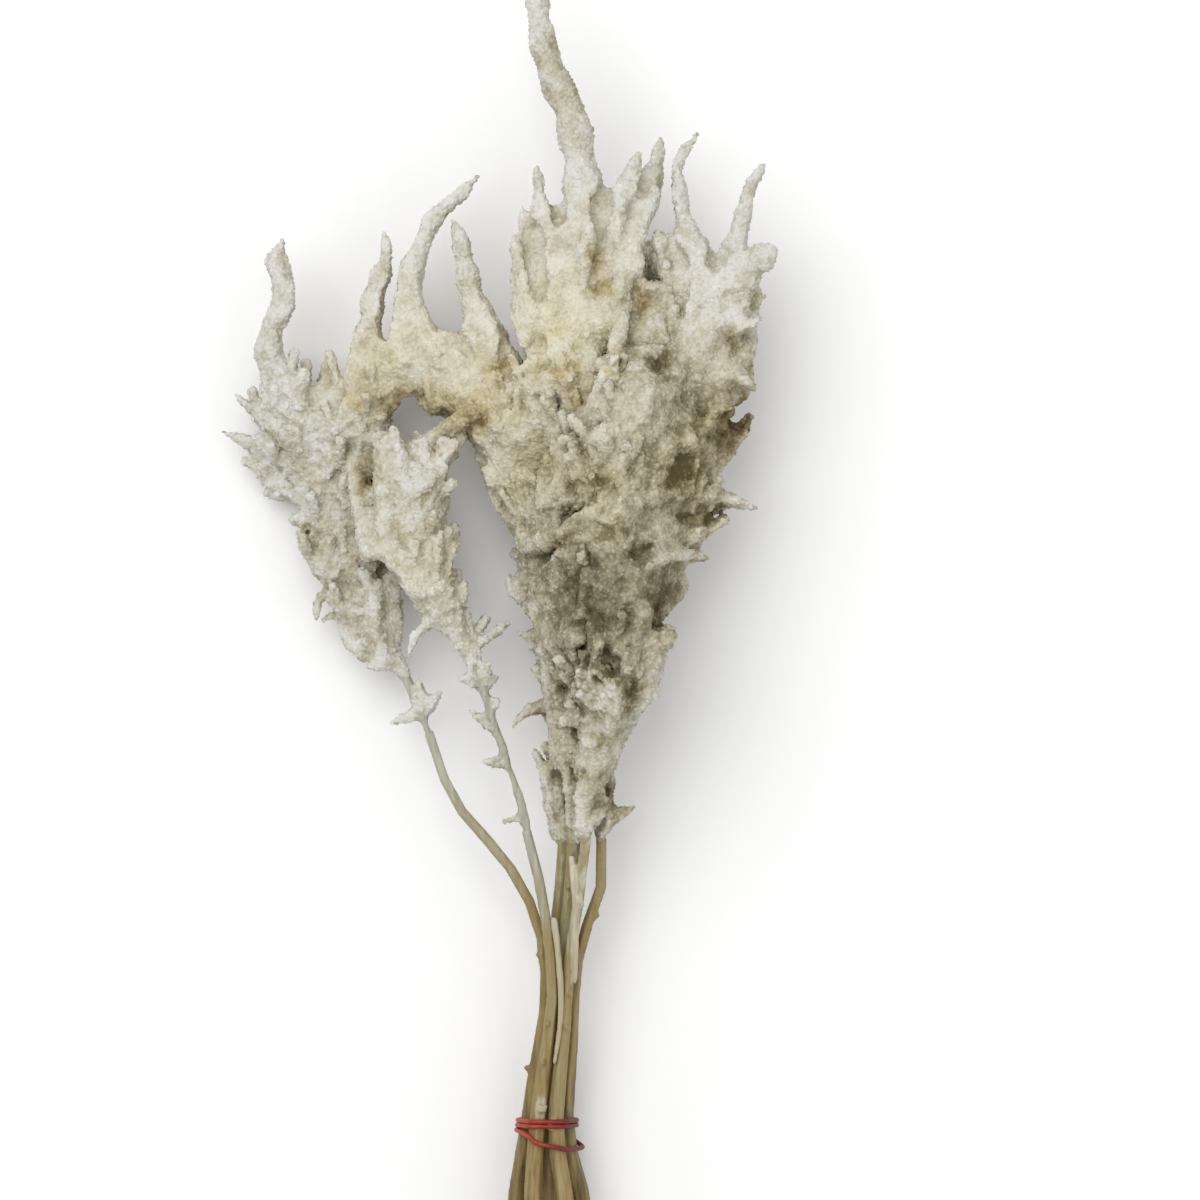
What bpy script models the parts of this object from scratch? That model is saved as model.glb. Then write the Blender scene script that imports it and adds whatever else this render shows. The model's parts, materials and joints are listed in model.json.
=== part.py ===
"""Preserved amaranthus bunch: seven bleached stems with crusted flower heads, tied by a rubber band.

The bunch lies on a surface with its stems along Y and the side that is looked at facing up.
Plants are laid out in millimetres, with Y measured along the bunch, and become metres in the meshes.
"""

import math
import random

import bmesh
import bpy
import numpy as np
from mathutils import Matrix, Vector, noise

MM = 0.001
PIECE_GAP = 0.3
SEED = 41

# The bundle, bottom to top: Y, axis X, axis Z, stem radius, distance of the outer stems from the axis
CUT_END_Y = -75.0
BUNDLE = (
    (CUT_END_Y, -4.5, 21.6, 4.6, 20.0),
    (-38.0, -4.5, 22.6, 4.6, 18.6),
    (0.0, -5.6, 23.0, 4.5, 16.2),
    (16.0, -6.6, 23.6, 4.45, 12.6),
    (32.0, -7.0, 24.4, 4.4, 9.6),
    (52.0, -5.4, 26.4, 4.0, 8.8),
    (75.0, -2.6, 29.2, 3.6, 7.9),
    (100.0, -0.2, 32.0, 3.1, 6.8),
)
STEM_SIDES = 8
STEM_STEP = 19.0

# The rubber band
BAND_RADIUS = 1.0
BAND_TOP_Y = 38.2
BAND_PITCH = 2.4
BAND_LOW_Y = 24.0
BAND_CROSS_LIFT = 2.3
BAND_CORNER = 20.0
BAND_SIDES = 6
BAND_TURNS = 3
# Shares of a turn, from the bottom by the left, over which the band's line changes
BAND_PITCH_SPAN = (0.84, 0.98)
BAND_SLACK_SPAN = (0.28, 0.60)
BAND_RETURN_SPAN = (0.78, 1.0)
BAND_RISE_SPAN = (0.68, 0.80)
BAND_FALL_SPAN = (0.02, 0.16)

# Cut side shoots: how far their rings stand from the stem's surface, their radii and forward lean
STUB_RINGS = (-2.0, 1.0, 2.6)
STUB_RADII = (1.9, 1.8, 1.5)
STUB_SIDES = 6
STUB_LEAN = 0.55

# Crusted spikes
AXIS_SIDES = 8
AXIS_STEP = 12.0
SPIKE_SIDES = 6
SPIKE_STEP = 8.0
TIP_ROUNDING = 0.8
TIP_SHARE = 0.12
KNOB = 0.12
CRUST = 0.6
CORE_CRUST = 1.6
CRUST_GRAIN = 0.28
ROOT_DEPTH = 0.55
GOLDEN_ANGLE = math.radians(137.5)
AZIMUTH_SPREAD = 0.25
REACH_SPREAD = (0.80, 1.15)
THICKNESS_SPREAD = (0.90, 1.08)
REACH_TAPER = 0.25

# How spikes bend clear of other plants: each is a chain of balls, stiff near its root
CHAIN_STEP = 2.5
STIFF_LENGTH = 4.0
YIELD_LENGTH = 14.0
LONG_FREEDOM = 0.05
LAID_FREEDOM = 0.35
SIDE_FREEDOM = 1.0
CLEARANCE = 1.1
OWN_CLEARANCE = -0.6
LEAST_CLEARANCE = 0.45
PAIR_MARGIN = 9.0
PAIR_ROUNDS = 15
BEND_ROUNDS = 90
BEND_RATE = 0.8
SHORTEST_CUT = 14.0

# The surface that the bunch lies on, at Z 0: how spikes meet it and the block that cuts pieces flat
RESTING_SHARE = 0.3
FLOOR_GAP = 0.5
FLOOR_BLOCK = (1.0, 1.2, 0.1)
FLOOR_BLOCK_Y = 0.27

# Short edges along the seams of a union are merged by the longest of these that leaves it closed
SEAM_STEPS = (0.5, 0.35, 0.25, 0.15, 0.08)

# One entry a plant. slot: place in the bundle, in degrees about its axis seen from the cut ends, with
# 90 up; None is the centre. stalk and rachis: stations (x, y, z, radius) up to and past the first
# florets. stubs: cut side shoots (y, degrees). spikes: (lift, root radius, tip radius, route in x, y),
# where lift is how far the tip rises above its root. long_spikes: stations (x, y, z, radius).
# side_spikes: (first, last) share of the rachis, number, reach beyond it, lean from it at root and
# tip in degrees, root radius, tip radius
PLANTS = {
    "left": {
        "slot": 180,
        "stalk": ((-11.0, 137, 33.5, 2.8), (-21.5, 160, 35, 2.7), (-37, 180, 36, 2.7),
                  (-53, 199, 36, 2.6), (-64, 228, 35, 2.5)),
        "rachis": ((-75, 255, 32, 2.6), (-87, 277, 28, 6), (-97.5, 300, 22.5, 9.5),
                   (-107, 330, 19.2, 13), (-117, 360, 18.2, 15), (-130, 385, 21.4, 13),
                   (-139, 402, 29, 9.4), (-144, 415, 33, 7.6), (-147, 430, 35, 7.4),
                   (-141.5, 442, 36, 6), (-138, 451, 36, 7), (-140.5, 464, 36, 7),
                   (-142.5, 473, 36, 5.4), (-139, 482, 36, 2)),
        "stubs": ((62, 172), (120, 150)),
        "spikes": (
            (6, 6.0, 2.6, (-136, 384), (-152, 394), (-165, 404)),
            (2, 6.4, 2.6, (-126, 370), (-150, 377), (-172, 385)),
            (-3, 5.6, 2.8, (-118, 355), (-136, 360), (-153, 361)),
            (0, 6.0, 3.2, (-108, 333), (-126, 339), (-138, 341)),
            (7, 5.4, 3.2, (-105, 320), (-121, 325), (-133, 326)),
            (3, 5.4, 2.2, (-97, 295), (-112, 305), (-121, 302), (-123, 287)),
            (13, 5.5, 4.8, (-93, 290), (-90, 311)),
            (2, 4.6, 3.4, (-88, 278), (-80, 299)),
            (-5, 5.4, 3.8, (-89, 275), (-105, 278), (-112, 292)),
            (4, 4.4, 3.6, (-84, 268), (-99, 266)),
            (14, 7.4, 4.4, (-117, 356), (-97, 374), (-86, 392)),
            (8, 7.0, 4.4, (-112, 344), (-94, 360), (-86, 376)),
            (2, 6.2, 3.8, (-106, 328), (-90, 346), (-83, 360)),
            (0, 6.0, 3.0, (-124, 364), (-143, 366), (-160, 371)),
            (-5, 5.0, 3.4, (-103, 318), (-90, 334), (-83, 345)),
            (8, 6.5, 2.6, (-124, 372), (-119, 407), (-117, 425)),
            (15, 6.2, 3.4, (-112, 345), (-128, 366), (-137, 384)),
            (4, 4.8, 2.4, (-73, 242), (-58, 256)),
            (-3, 4.0, 2.2, (-73, 243), (-87, 237)),
            (6, 5.0, 4.0, (-74, 246), (-71, 261)),
        ),
        "long_spikes": (
            ((-112, 372, 30, 9), (-103, 390, 35, 11), (-97, 410, 39, 9.8), (-96, 430, 41, 7.2),
             (-93, 442, 41, 6.6), (-91, 452, 41, 6.4), (-87, 462, 41, 5.8), (-85, 474, 41, 3.6),
             (-87.5, 486, 41, 2)),
        ),
        "side_spikes": ((0.26, 0.72), 9, 22, (70, 30), 6.2, 3.2),
    },
    "inner_left": {
        "slot": 120,
        "stalk": ((-6.4, 135, 39.5, 2.8), (-9.5, 155, 42, 2.8), (-13, 170, 43, 2.6),
                  (-15.5, 179, 43.5, 2.5)),
        "rachis": ((-17, 188, 44, 2.5), (-29, 227, 46, 2.5), (-37, 250, 47, 2.6), (-45, 272, 48, 4),
                   (-57, 295, 49, 8), (-65, 312, 50, 9.8), (-68, 330, 50, 10.4),
                   (-69, 355, 50, 10.4), (-67, 374, 50, 7.6), (-59, 386, 50, 3.2)),
        "stubs": ((85, 112), (66, 100)),
        "spikes": (
            (14, 7.5, 3.8, (-58, 296), (-76, 313), (-90, 325)),
            (0, 4.0, 3.6, (-57, 296), (-52, 303)),
            (0, 4.6, 2.0, (-66, 316), (-54, 330)),
            (10, 6.0, 3.8, (-69, 352), (-80, 368), (-84, 388)),
            (12, 5.4, 3.2, (-67, 345), (-60, 366)),
            (3, 4.0, 2.2, (-59, 292), (-72, 283), (-77, 268)),
            (-5, 3.8, 2.6, (-47, 276), (-36, 281), (-24, 289)),
            (5, 4.4, 3.2, (-42, 258), (-53, 262)),
            (4, 4.2, 2.8, (-41, 258), (-34, 271)),
            (-2, 3.2, 2.0, (-39, 256), (-28, 263)),
            (2, 3.2, 2.4, (-36, 244), (-30, 252)),
            (3, 3.8, 2.8, (-32, 233), (-47, 246)),
            (5, 3.8, 3.4, (-27, 218), (-40, 219)),
            (0, 3.0, 2.4, (-19, 190), (-29, 189)),
        ),
        "long_spikes": (),
        "side_spikes": ((0.54, 0.93), 9, 15, (70, 25), 5.4, 3.0),
    },
    "arch": {
        "slot": 240,
        "stalk": ((-3, 130, 30, 2.8), (-0.5, 155, 34, 2.8), (1, 175, 37, 2.6)),
        "rachis": ((2, 200, 38, 3.2), (3, 222, 38, 4), (3, 250, 37, 6), (-5, 300, 36, 9.5),
                   (-14, 340, 37, 12.5), (-27, 375, 41, 14), (-43, 401, 44, 13.6),
                   (-61, 420, 44, 12.6), (-73, 434, 44, 9.6), (-76, 446, 44, 7.4), (-75, 458, 44, 6.7),
                   (-73, 468, 44, 5.8), (-69, 479, 44, 5), (-62, 493, 44, 5.2), (-52, 500, 44, 4.4),
                   (-45, 508, 44, 3), (-39.5, 514, 44, 1.8)),
        "stubs": ((92, 250),),
        "spikes": (
            (12, 6.4, 4.2, (-30, 378), (-31, 402)),
            (0, 5.2, 2.4, (-20, 352), (-34, 362), (-42, 373)),
            (5, 5.2, 2.4, (-15, 338), (-29, 347), (-34, 357)),
            (14, 7.0, 3.6, (-30, 380), (-23, 413), (-28, 432)),
            (6, 5.6, 4.0, (-56, 412), (-53, 434)),
            (-2, 7.6, 5.0, (-56, 414), (-74, 413), (-86, 401)),
            (2, 7.4, 4.0, (-63, 421), (-79, 424), (-85, 438)),
            (-6, 7.0, 4.6, (-46, 402), (-62, 399), (-72, 398)),
            (4, 4.8, 3.2, (2, 196), (-6, 212), (-14, 226)),
            (6, 5.0, 2.4, (2, 243), (-12, 247), (-22, 241), (-29, 233)),
            (4, 4.8, 3.2, (-6, 298), (-27, 304)),
            (0, 5.4, 3.6, (0, 276), (-22, 284)),
            (3, 3.4, 2.0, (-12, 318), (-25, 323)),
            (6, 3.6, 2.8, (1, 186), (-6, 193)),
        ),
        "long_spikes": (
            ((-33, 382, 42, 8.5), (-34, 408, 47, 9.6), (-36, 430, 50, 9.2), (-39, 441, 50, 8.2),
             (-43, 448, 50, 7.4), (-45, 456, 50, 6.8), (-46.5, 464, 50, 5.8), (-48.5, 474, 50, 5.2),
             (-51, 484, 50, 4.8), (-55, 491, 51, 2.4)),
        ),
        "side_spikes": ((0.18, 0.62), 13, 18, (64, 14), 6.6, 3.4),
    },
    "centre": {
        "slot": None,
        "stalk": ((2, 130, 35, 2.8), (4.5, 155, 40, 2.8), (6, 175, 45, 2.7)),
        "rachis": ((7.5, 200, 49, 3.2), (9.5, 230, 52, 5), (12.5, 280, 57, 8.5), (13, 330, 60, 13),
                   (12, 380, 60, 14.5), (11, 430, 60, 14.5), (11, 470, 60, 13), (11, 498, 60, 9.8),
                   (9.5, 523, 60, 9), (6, 538, 60, 8.8), (3, 551, 60, 8.6), (-3, 559, 60, 7.8),
                   (-6, 568, 60, 7.6), (-9, 580, 60, 6.6), (-11, 600, 60, 6.2), (-10.5, 616, 60, 4.4),
                   (-10, 625, 60, 2)),
        "stubs": ((155, 90),),
        "spikes": (
            (8, 7.4, 3.0, (8, 462), (-7, 488), (-12, 518)),
            (-2, 7.6, 3.0, (8, 436), (-14, 470), (-19, 498)),
            (10, 7.4, 3.0, (8, 416), (-16, 450), (-23, 483)),
            (0, 7.2, 3.6, (10, 392), (-15, 428), (-20, 456)),
            (4, 7.0, 4.0, (8, 370), (-10, 394), (-15, 420)),
            (6, 8.0, 4.0, (12, 450), (27, 490), (40, 524)),
            (-6, 8.8, 3.6, (13, 430), (32, 478), (45, 505), (51, 532)),
            (12, 7.0, 3.6, (13, 402), (26, 440), (42, 472)),
        ),
        "long_spikes": (),
        "side_spikes": ((0.10, 0.68), 21, 25, (62, 10), 7.4, 3.8),
    },
    "right": {
        "slot": 0,
        "stalk": ((11, 130, 35, 2.8), (20, 153, 40, 2.8), (20.5, 175, 44, 2.7)),
        "rachis": ((20.5, 200, 47, 3.2), (23, 230, 50, 5), (33, 280, 53, 8.4), (49, 330, 55, 14),
                   (65, 380, 56, 17), (73, 428, 57, 16.5), (70, 458, 58, 11.5), (65, 478, 59, 7),
                   (61, 492, 60, 4.8), (59, 506, 60, 4.4), (58, 516, 60, 3.8), (62, 525, 60, 3.4),
                   (71, 534, 60, 2)),
        "stubs": ((140, 20),),
        "spikes": (
            (2, 7.4, 3.0, (68, 425), (84, 463), (91, 490), (95, 506), (103.5, 519)),
            (16, 7.4, 8.6, (66, 430), (89, 462), (108, 475)),
            (6, 6.4, 2.4, (70, 412), (91, 440), (99, 454), (105, 449)),
            (12, 6.4, 4.6, (64, 384), (77, 406), (88, 412), (98, 403)),
            (12, 5.6, 3.8, (58, 362), (66, 376), (75, 375)),
            (4, 8.8, 2.2, (52, 334), (77, 350), (100, 345)),
            (0, 7.4, 5.4, (68, 392), (88, 416), (97, 438)),
            (-6, 7.0, 4.6, (60, 362), (82, 374), (95, 392)),
            (6, 5.8, 3.4, (44, 312), (64, 322), (76, 320)),
            (-14, 8.4, 7.0, (36, 288), (52, 302), (63, 307)),
            (4, 6.8, 3.2, (66, 432), (54, 462), (47, 486)),
            (4, 5.4, 2.2, (19.5, 190), (28, 191), (39, 197)),
            (2, 3.8, 2.8, (19.5, 186), (26, 185)),
        ),
        "long_spikes": (),
        "side_spikes": ((0.10, 0.76), 17, 21, (66, 14), 7.0, 3.4),
    },
    "front": {
        "slot": 60,
        "stalk": ((6, 130, 41, 2.8), (10, 155, 48, 2.8), (12.5, 175, 53, 2.7)),
        "rachis": ((14, 198, 58, 3.4), (15, 222, 64, 5), (19, 255, 73, 9), (22.5, 290, 81, 11),
                   (25, 325, 87, 11.5), (28, 360, 89, 12), (33, 390, 89, 10.5), (39, 416, 89, 5)),
        "stubs": ((100, 62), (84, 76)),
        "spikes": (
            (5, 7.0, 7.0, (21, 260), (42, 277), (57, 284)),
            (4, 6.0, 4.8, (21, 266), (42, 269), (46, 257), (40, 246)),
            (2, 6.0, 4.2, (16, 230), (26, 249), (36, 261)),
            (-2, 5.4, 4.0, (15, 210), (23, 221), (31, 229)),
            (2, 4.0, 2.6, (13.5, 188), (22, 201)),
        ),
        "long_spikes": (),
        "side_spikes": ((0.14, 0.96), 18, 22, (60, 10), 7.2, 3.8),
    },
    "back": {
        "slot": 300,
        "stalk": ((3.5, 130, 28, 2.8), (7, 155, 29, 2.8), (9.5, 175, 30, 2.6)),
        "rachis": ((13, 205, 30, 3.4), (16, 230, 28, 5), (22, 270, 23, 9.5), (30, 320, 19, 12.5),
                   (36, 370, 18, 14), (41, 415, 18, 13), (44, 450, 20, 10), (45, 482, 24, 5)),
        "stubs": ((60, 285),),
        "spikes": (),
        "long_spikes": (),
        "side_spikes": ((0.12, 0.96), 15, 22, (66, 14), 7.0, 3.6),
    },
}
RESTING_HEADS = ("left", "back")

# Facets of a round piece shade smooth up to this angle, past which an edge is sharp
SMOOTH_ANGLE = math.radians(64.0)
COLOURS = {
    "stem": ((0.47, 0.38, 0.22, 1.0), 0.62),
    "floret": ((0.80, 0.74, 0.62, 1.0), 0.90),
    "rubber": ((0.62, 0.05, 0.03, 1.0), 0.45),
}


class Route:
    """A smooth curve through stations of x, y, z and radius, measured by its chord length."""

    def __init__(self, stations):
        self.keys = np.array(stations, dtype=float)
        chords = np.linalg.norm(np.diff(self.keys[:, :3], axis=0), axis=1)
        self.marks = np.concatenate(([0.0], np.cumsum(chords)))
        self.slopes = np.gradient(self.keys[:, :3], self.marks, axis=0)

    def at(self, marks):
        marks = np.atleast_1d(marks)
        left = np.clip(np.searchsorted(self.marks, marks, side="right") - 1, 0, len(self.marks) - 2)
        span = self.marks[left + 1] - self.marks[left]
        u = ((marks - self.marks[left]) / span)[:, None]
        span = span[:, None]
        points = (
            (2 * u**3 - 3 * u**2 + 1) * self.keys[left, :3]
            + (u**3 - 2 * u**2 + u) * span * self.slopes[left]
            + (3 * u**2 - 2 * u**3) * self.keys[left + 1, :3]
            + (u**3 - u**2) * span * self.slopes[left + 1]
        )
        radii = np.interp(marks, self.marks, self.keys[:, 3])
        return points, radii

    def sample(self, start, end, step):
        count = max(2, round((end - start) / step) + 1)
        return self.at(np.linspace(start, end, count))

    def heading(self, mark):
        ends, _ = self.at(np.array([mark - 0.5, mark + 0.5]))
        direction = ends[1] - ends[0]
        return direction / np.linalg.norm(direction)


class Chain:
    """A spike or stalk as a row of balls, which can be bent about its root."""

    def __init__(self, owner, points, radii, freedom):
        self.owner = owner
        self.rest = np.array(points)
        self.points = self.rest.copy()
        self.radii = np.array(radii)
        self.freedom = freedom

    def mobility(self):
        reach = np.arange(len(self.rest)) * CHAIN_STEP
        return self.freedom * np.clip((reach - STIFF_LENGTH) / YIELD_LENGTH, 0.0, 1.0)


def unit(vector):
    return vector / np.linalg.norm(vector)


def bundle_section(y):
    """Axis X and Z, stem radius and spread of the bundle at a place along it."""
    rows = np.array(BUNDLE)
    return [np.interp(y, rows[:, 0], rows[:, column]) for column in (1, 2, 3, 4)]


def bundle_place(slot, y):
    x, z, radius, spread = bundle_section(y)
    if slot is None:
        return x, y, z, radius
    angle = math.radians(slot)
    return x + spread * math.cos(angle), y, z + spread * math.sin(angle), radius


def plant_route(plant):
    lower = [bundle_place(plant["slot"], row[0]) for row in BUNDLE]
    return Route(lower + list(plant["stalk"]) + list(plant["rachis"]))


def first_floret(plant):
    return len(BUNDLE) + len(plant["stalk"]) - 1


def rounded_tip(radii, step):
    """Radii that close over the last few millimetres."""
    from_tip = np.arange(len(radii))[::-1] * step
    share = (from_tip + TIP_ROUNDING) / (radii + TIP_ROUNDING)
    return radii * np.sqrt(np.clip(share, TIP_SHARE, 1.0))


def laid_spike(route, start, spike):
    """A spike along a route given in plan, rooted on the nearest point of its rachis."""
    lift, root_radius, tip_radius, *plan = spike
    axis, thickness = route.sample(start, route.marks[-1], 1.0)
    root = np.argmin(np.linalg.norm(axis[:, :2] - np.array(plan[0]), axis=1))
    nearest = axis[root]
    count = len(plan)
    stations = [(*nearest, root_radius)]
    for index, (x, y) in enumerate(plan[1:], start=1):
        share = index / (count - 1)
        radius = root_radius + (tip_radius - root_radius) * share
        stations.append((x, y, nearest[2] + lift * share, radius))
    laid = Route(stations)
    return laid.sample((1.0 - ROOT_DEPTH) * thickness[root], laid.marks[-1], CHAIN_STEP)


def side_spike(route, mark, azimuth, reach, leans, root_radius, tip_radius):
    """A spike that leaves the rachis sideways and curves towards the tip of the head."""
    axis, thickness = route.at(mark)
    along = route.heading(mark)
    across = unit(np.cross(along, (0.0, 0.0, 1.0)))
    above = np.cross(across, along)
    outward = math.cos(azimuth) * across + math.sin(azimuth) * above
    sunk = ROOT_DEPTH * thickness[0]
    count = max(4, round((reach + sunk) / CHAIN_STEP) + 1)
    lean = np.radians(np.linspace(*leans, count - 1))[:, None]
    steps = CHAIN_STEP * (np.cos(lean) * along + np.sin(lean) * outward)
    root = axis[0] + outward * (thickness[0] - sunk)
    points = root + np.concatenate((np.zeros((1, 3)), np.cumsum(steps, axis=0)))
    radii = np.linspace(root_radius, tip_radius, count)
    return points, radii


def head_chains(name, plant, route, draw):
    """The rachis and every spike of one head, before neighbours bend each other."""
    start = route.marks[first_floret(plant)]
    end = route.marks[-1]
    points, radii = route.sample(start, end, CHAIN_STEP)
    chains = [Chain(name, points, radii, 0.0)]
    for stations in plant["long_spikes"]:
        spike = Route(stations)
        chains.append(Chain(name, *spike.sample(0.0, spike.marks[-1], CHAIN_STEP), LONG_FREEDOM))
    for spike in plant["spikes"]:
        chains.append(Chain(name, *laid_spike(route, start, spike), LAID_FREEDOM))
    (first, last), number, reach, leans, root_radius, tip_radius = plant["side_spikes"]
    for index in range(number):
        share = first + (last - first) * (index + 0.5) / number
        azimuth = index * GOLDEN_ANGLE + draw.uniform(-AZIMUTH_SPREAD, AZIMUTH_SPREAD)
        taper = 1.0 - REACH_TAPER * (index / number) ** 2
        points, radii = side_spike(
            route,
            start + share * (end - start),
            azimuth,
            reach * taper * draw.uniform(*REACH_SPREAD),
            leans,
            root_radius * draw.uniform(*THICKNESS_SPREAD),
            tip_radius,
        )
        chains.append(Chain(name, points, radii, SIDE_FREEDOM))
    return chains


def close_pairs(points, radii, owners, strands, free, margin):
    """Pairs of balls near enough to meet, apart from those of one chain.

    Within one plant only the side spikes, which are free, keep apart from each other.
    """
    rows = []
    for index in range(len(points) - 1):
        others = slice(index + 1, None)
        near = np.linalg.norm(points[others] - points[index], axis=1)
        reach = radii[others] + radii[index] + margin
        wanted = (near < reach) & (strands[others] != strands[index])
        wanted &= (free[others] > 0) | (free[index] > 0)
        own = owners[others] == owners[index]
        wanted &= ~own | ((free[others] > LAID_FREEDOM) & (free[index] > LAID_FREEDOM))
        found = np.nonzero(wanted)[0]
        rows.append(np.stack((np.full(len(found), index), found + index + 1), axis=1))
    return np.concatenate(rows)


def bend_clear(chains):
    """Bends the spikes about their roots until those of different plants stand apart."""
    rest = np.concatenate([chain.rest for chain in chains])
    radii = np.concatenate([chain.radii for chain in chains]) * (1 + KNOB) + CRUST
    free = np.concatenate([chain.mobility() for chain in chains])
    strands = np.concatenate([np.full(len(chain.rest), i) for i, chain in enumerate(chains)])
    names = sorted({chain.owner for chain in chains})
    owners = np.concatenate([np.full(len(chain.rest), names.index(chain.owner)) for chain in chains])
    resting = np.isin(owners, [names.index(name) for name in RESTING_HEADS])
    floor = np.where(resting, radii * RESTING_SHARE, radii + FLOOR_GAP)
    before = np.arange(len(rest)) - 1
    before[np.concatenate(([True], np.diff(strands) != 0))] += 1
    after = np.arange(len(rest)) + 1
    after[np.concatenate((np.diff(strands) != 0, [True]))] -= 1
    shift = np.zeros_like(rest)
    pairs = None
    for turn in range(BEND_ROUNDS):
        points = rest + shift
        if turn % PAIR_ROUNDS == 0:
            pairs = close_pairs(points, radii, owners, strands, free, PAIR_MARGIN)
            same = owners[pairs[:, 0]] == owners[pairs[:, 1]]
            wanted_gap = np.where(same, OWN_CLEARANCE, CLEARANCE)
        a, b = pairs[:, 0], pairs[:, 1]
        between = points[a] - points[b]
        distance = np.linalg.norm(between, axis=1) + 1e-6
        overlap = radii[a] + radii[b] + wanted_gap - distance
        hit = overlap > 0
        a, b, overlap = a[hit], b[hit], overlap[hit]
        away = between[hit] / distance[hit][:, None]
        total = free[a] + free[b]
        push = np.zeros_like(rest)
        np.add.at(push, a, away * (overlap * free[a] / total)[:, None])
        np.add.at(push, b, -away * (overlap * free[b] / total)[:, None])
        count = np.bincount(a, minlength=len(rest)) + np.bincount(b, minlength=len(rest))
        shift += BEND_RATE * push / np.maximum(count, 1)[:, None] ** 0.5
        low = floor - (rest + shift)[:, 2]
        shift[:, 2] += np.clip(low, 0.0, 1.0) * (free > 0)
        shift = 0.25 * shift[before] + 0.5 * shift + 0.25 * shift[after]
        shift *= np.where(free > 0, 1.0, 0.0)[:, None]
    for index, chain in enumerate(chains):
        chain.points = (rest + shift)[strands == index]


def cut_short(chains):
    """Cuts back the tips of spikes that still meet another plant, the most bendable first."""
    while True:
        strands = np.concatenate([np.full(len(c.points), i) for i, c in enumerate(chains)])
        places = np.concatenate([np.arange(len(c.points)) for c in chains])
        points = np.concatenate([c.points for c in chains])
        radii = np.concatenate([c.radii for c in chains]) * (1 + KNOB) + CRUST
        freedom = np.concatenate([np.full(len(c.points), c.freedom) for c in chains])
        names = [c.owner for c in chains]
        owners = np.concatenate([np.full(len(c.points), names.index(c.owner)) for c in chains])
        pairs = close_pairs(points, radii, owners, strands, freedom, LEAST_CLEARANCE)
        pairs = pairs[owners[pairs[:, 0]] != owners[pairs[:, 1]]]
        if not len(pairs):
            return
        victims = {}
        for a, b in pairs:
            victim = a if (freedom[a], places[a]) >= (freedom[b], places[b]) else b
            strand = strands[victim]
            victims[strand] = min(victims.get(strand, len(points)), places[victim])
        for strand, place in victims.items():
            chain = chains[strand]
            keep = min(place, len(chain.points) - 1)
            chain.points = chain.points[:keep]
            chain.radii = chain.radii[:keep]
        lost = {strand for strand in victims if len(chains[strand].points) * CHAIN_STEP < SHORTEST_CUT}
        chains[:] = [chain for strand, chain in enumerate(chains) if strand not in lost]


def resampled(points, radii, step):
    """The same line with a ring every step, radii closing at the tip."""
    chords = np.linalg.norm(np.diff(points, axis=0), axis=1)
    marks = np.concatenate(([0.0], np.cumsum(chords)))
    count = max(3, round(marks[-1] / step) + 1)
    wanted = np.linspace(0.0, marks[-1], count)
    rings = np.stack([np.interp(wanted, marks, points[:, axis]) for axis in range(3)], axis=1)
    return rings, np.interp(wanted, marks, radii), marks[-1] / (count - 1)


def tube(name, points, radii, sides, closed=False):
    """A round tube in metres as a mesh object, its caps welded on."""
    curve = bpy.data.curves.new(name, "CURVE")
    curve.dimensions = "3D"
    curve.bevel_depth = MM
    curve.bevel_resolution = (sides - 4) // 2
    curve.use_fill_caps = not closed
    spline = curve.splines.new("POLY")
    spline.points.add(len(points) - 1)
    for point, place, radius in zip(spline.points, points, radii):
        point.co = (*(float(value) * MM for value in place), 1.0)
        point.radius = float(radius)
    spline.use_cyclic_u = closed
    source = bpy.data.objects.new(name + " path", curve)
    bpy.context.scene.collection.objects.link(source)
    evaluated = source.evaluated_get(bpy.context.evaluated_depsgraph_get())
    mesh = bpy.data.meshes.new_from_object(evaluated)
    bpy.data.objects.remove(source)
    mesh.name = name
    shell = bmesh.new()
    shell.from_mesh(mesh)
    bmesh.ops.remove_doubles(shell, verts=shell.verts, dist=1e-6)
    bmesh.ops.recalc_face_normals(shell, faces=shell.faces)
    shell.to_mesh(mesh)
    shell.free()
    return bpy.data.objects.new(name, mesh)


def crust(obj, seed, height, start):
    """Raises uneven florets from the surface, apart from what lies near the start."""
    offset = Vector((seed * 3.7, seed * 1.3, 0.0))
    mesh = obj.data
    normals = [vertex.normal.copy() for vertex in mesh.vertices]
    for vertex, normal in zip(mesh.vertices, normals):
        grain = noise.noise(vertex.co * CRUST_GRAIN / MM + offset)
        away = (vertex.co / MM - start).length
        vertex.co += normal * grain * height * MM * min(1.0, away / AXIS_STEP)


def knobbed(radii, first=2):
    """Radii with a constriction between florets at every other ring."""
    wave = np.ones(len(radii))
    inner = np.arange(first, len(radii) - 1)
    wave[inner] += KNOB * (-1.0) ** inner
    return radii * wave


def unite(target, others, home):
    """One Boolean union of the target with a collection, which is then removed."""
    group = bpy.data.collections.new(target.name + " spikes")
    home.children.link(group)
    for other in others:
        group.objects.link(other)
    union = target.modifiers.new("Fuse", "BOOLEAN")
    union.operation = "UNION"
    union.operand_type = "COLLECTION"
    union.collection = group
    union.solver = "MANIFOLD"
    bake(target)
    for other in list(group.objects):
        bpy.data.objects.remove(other)
    bpy.data.collections.remove(group)


def bake(obj):
    """Applies an object's modifiers to its mesh."""
    evaluated = obj.evaluated_get(bpy.context.evaluated_depsgraph_get())
    mesh = bpy.data.meshes.new_from_object(evaluated)
    mesh.name = obj.data.name
    obj.modifiers.clear()
    obj.data = mesh


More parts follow.
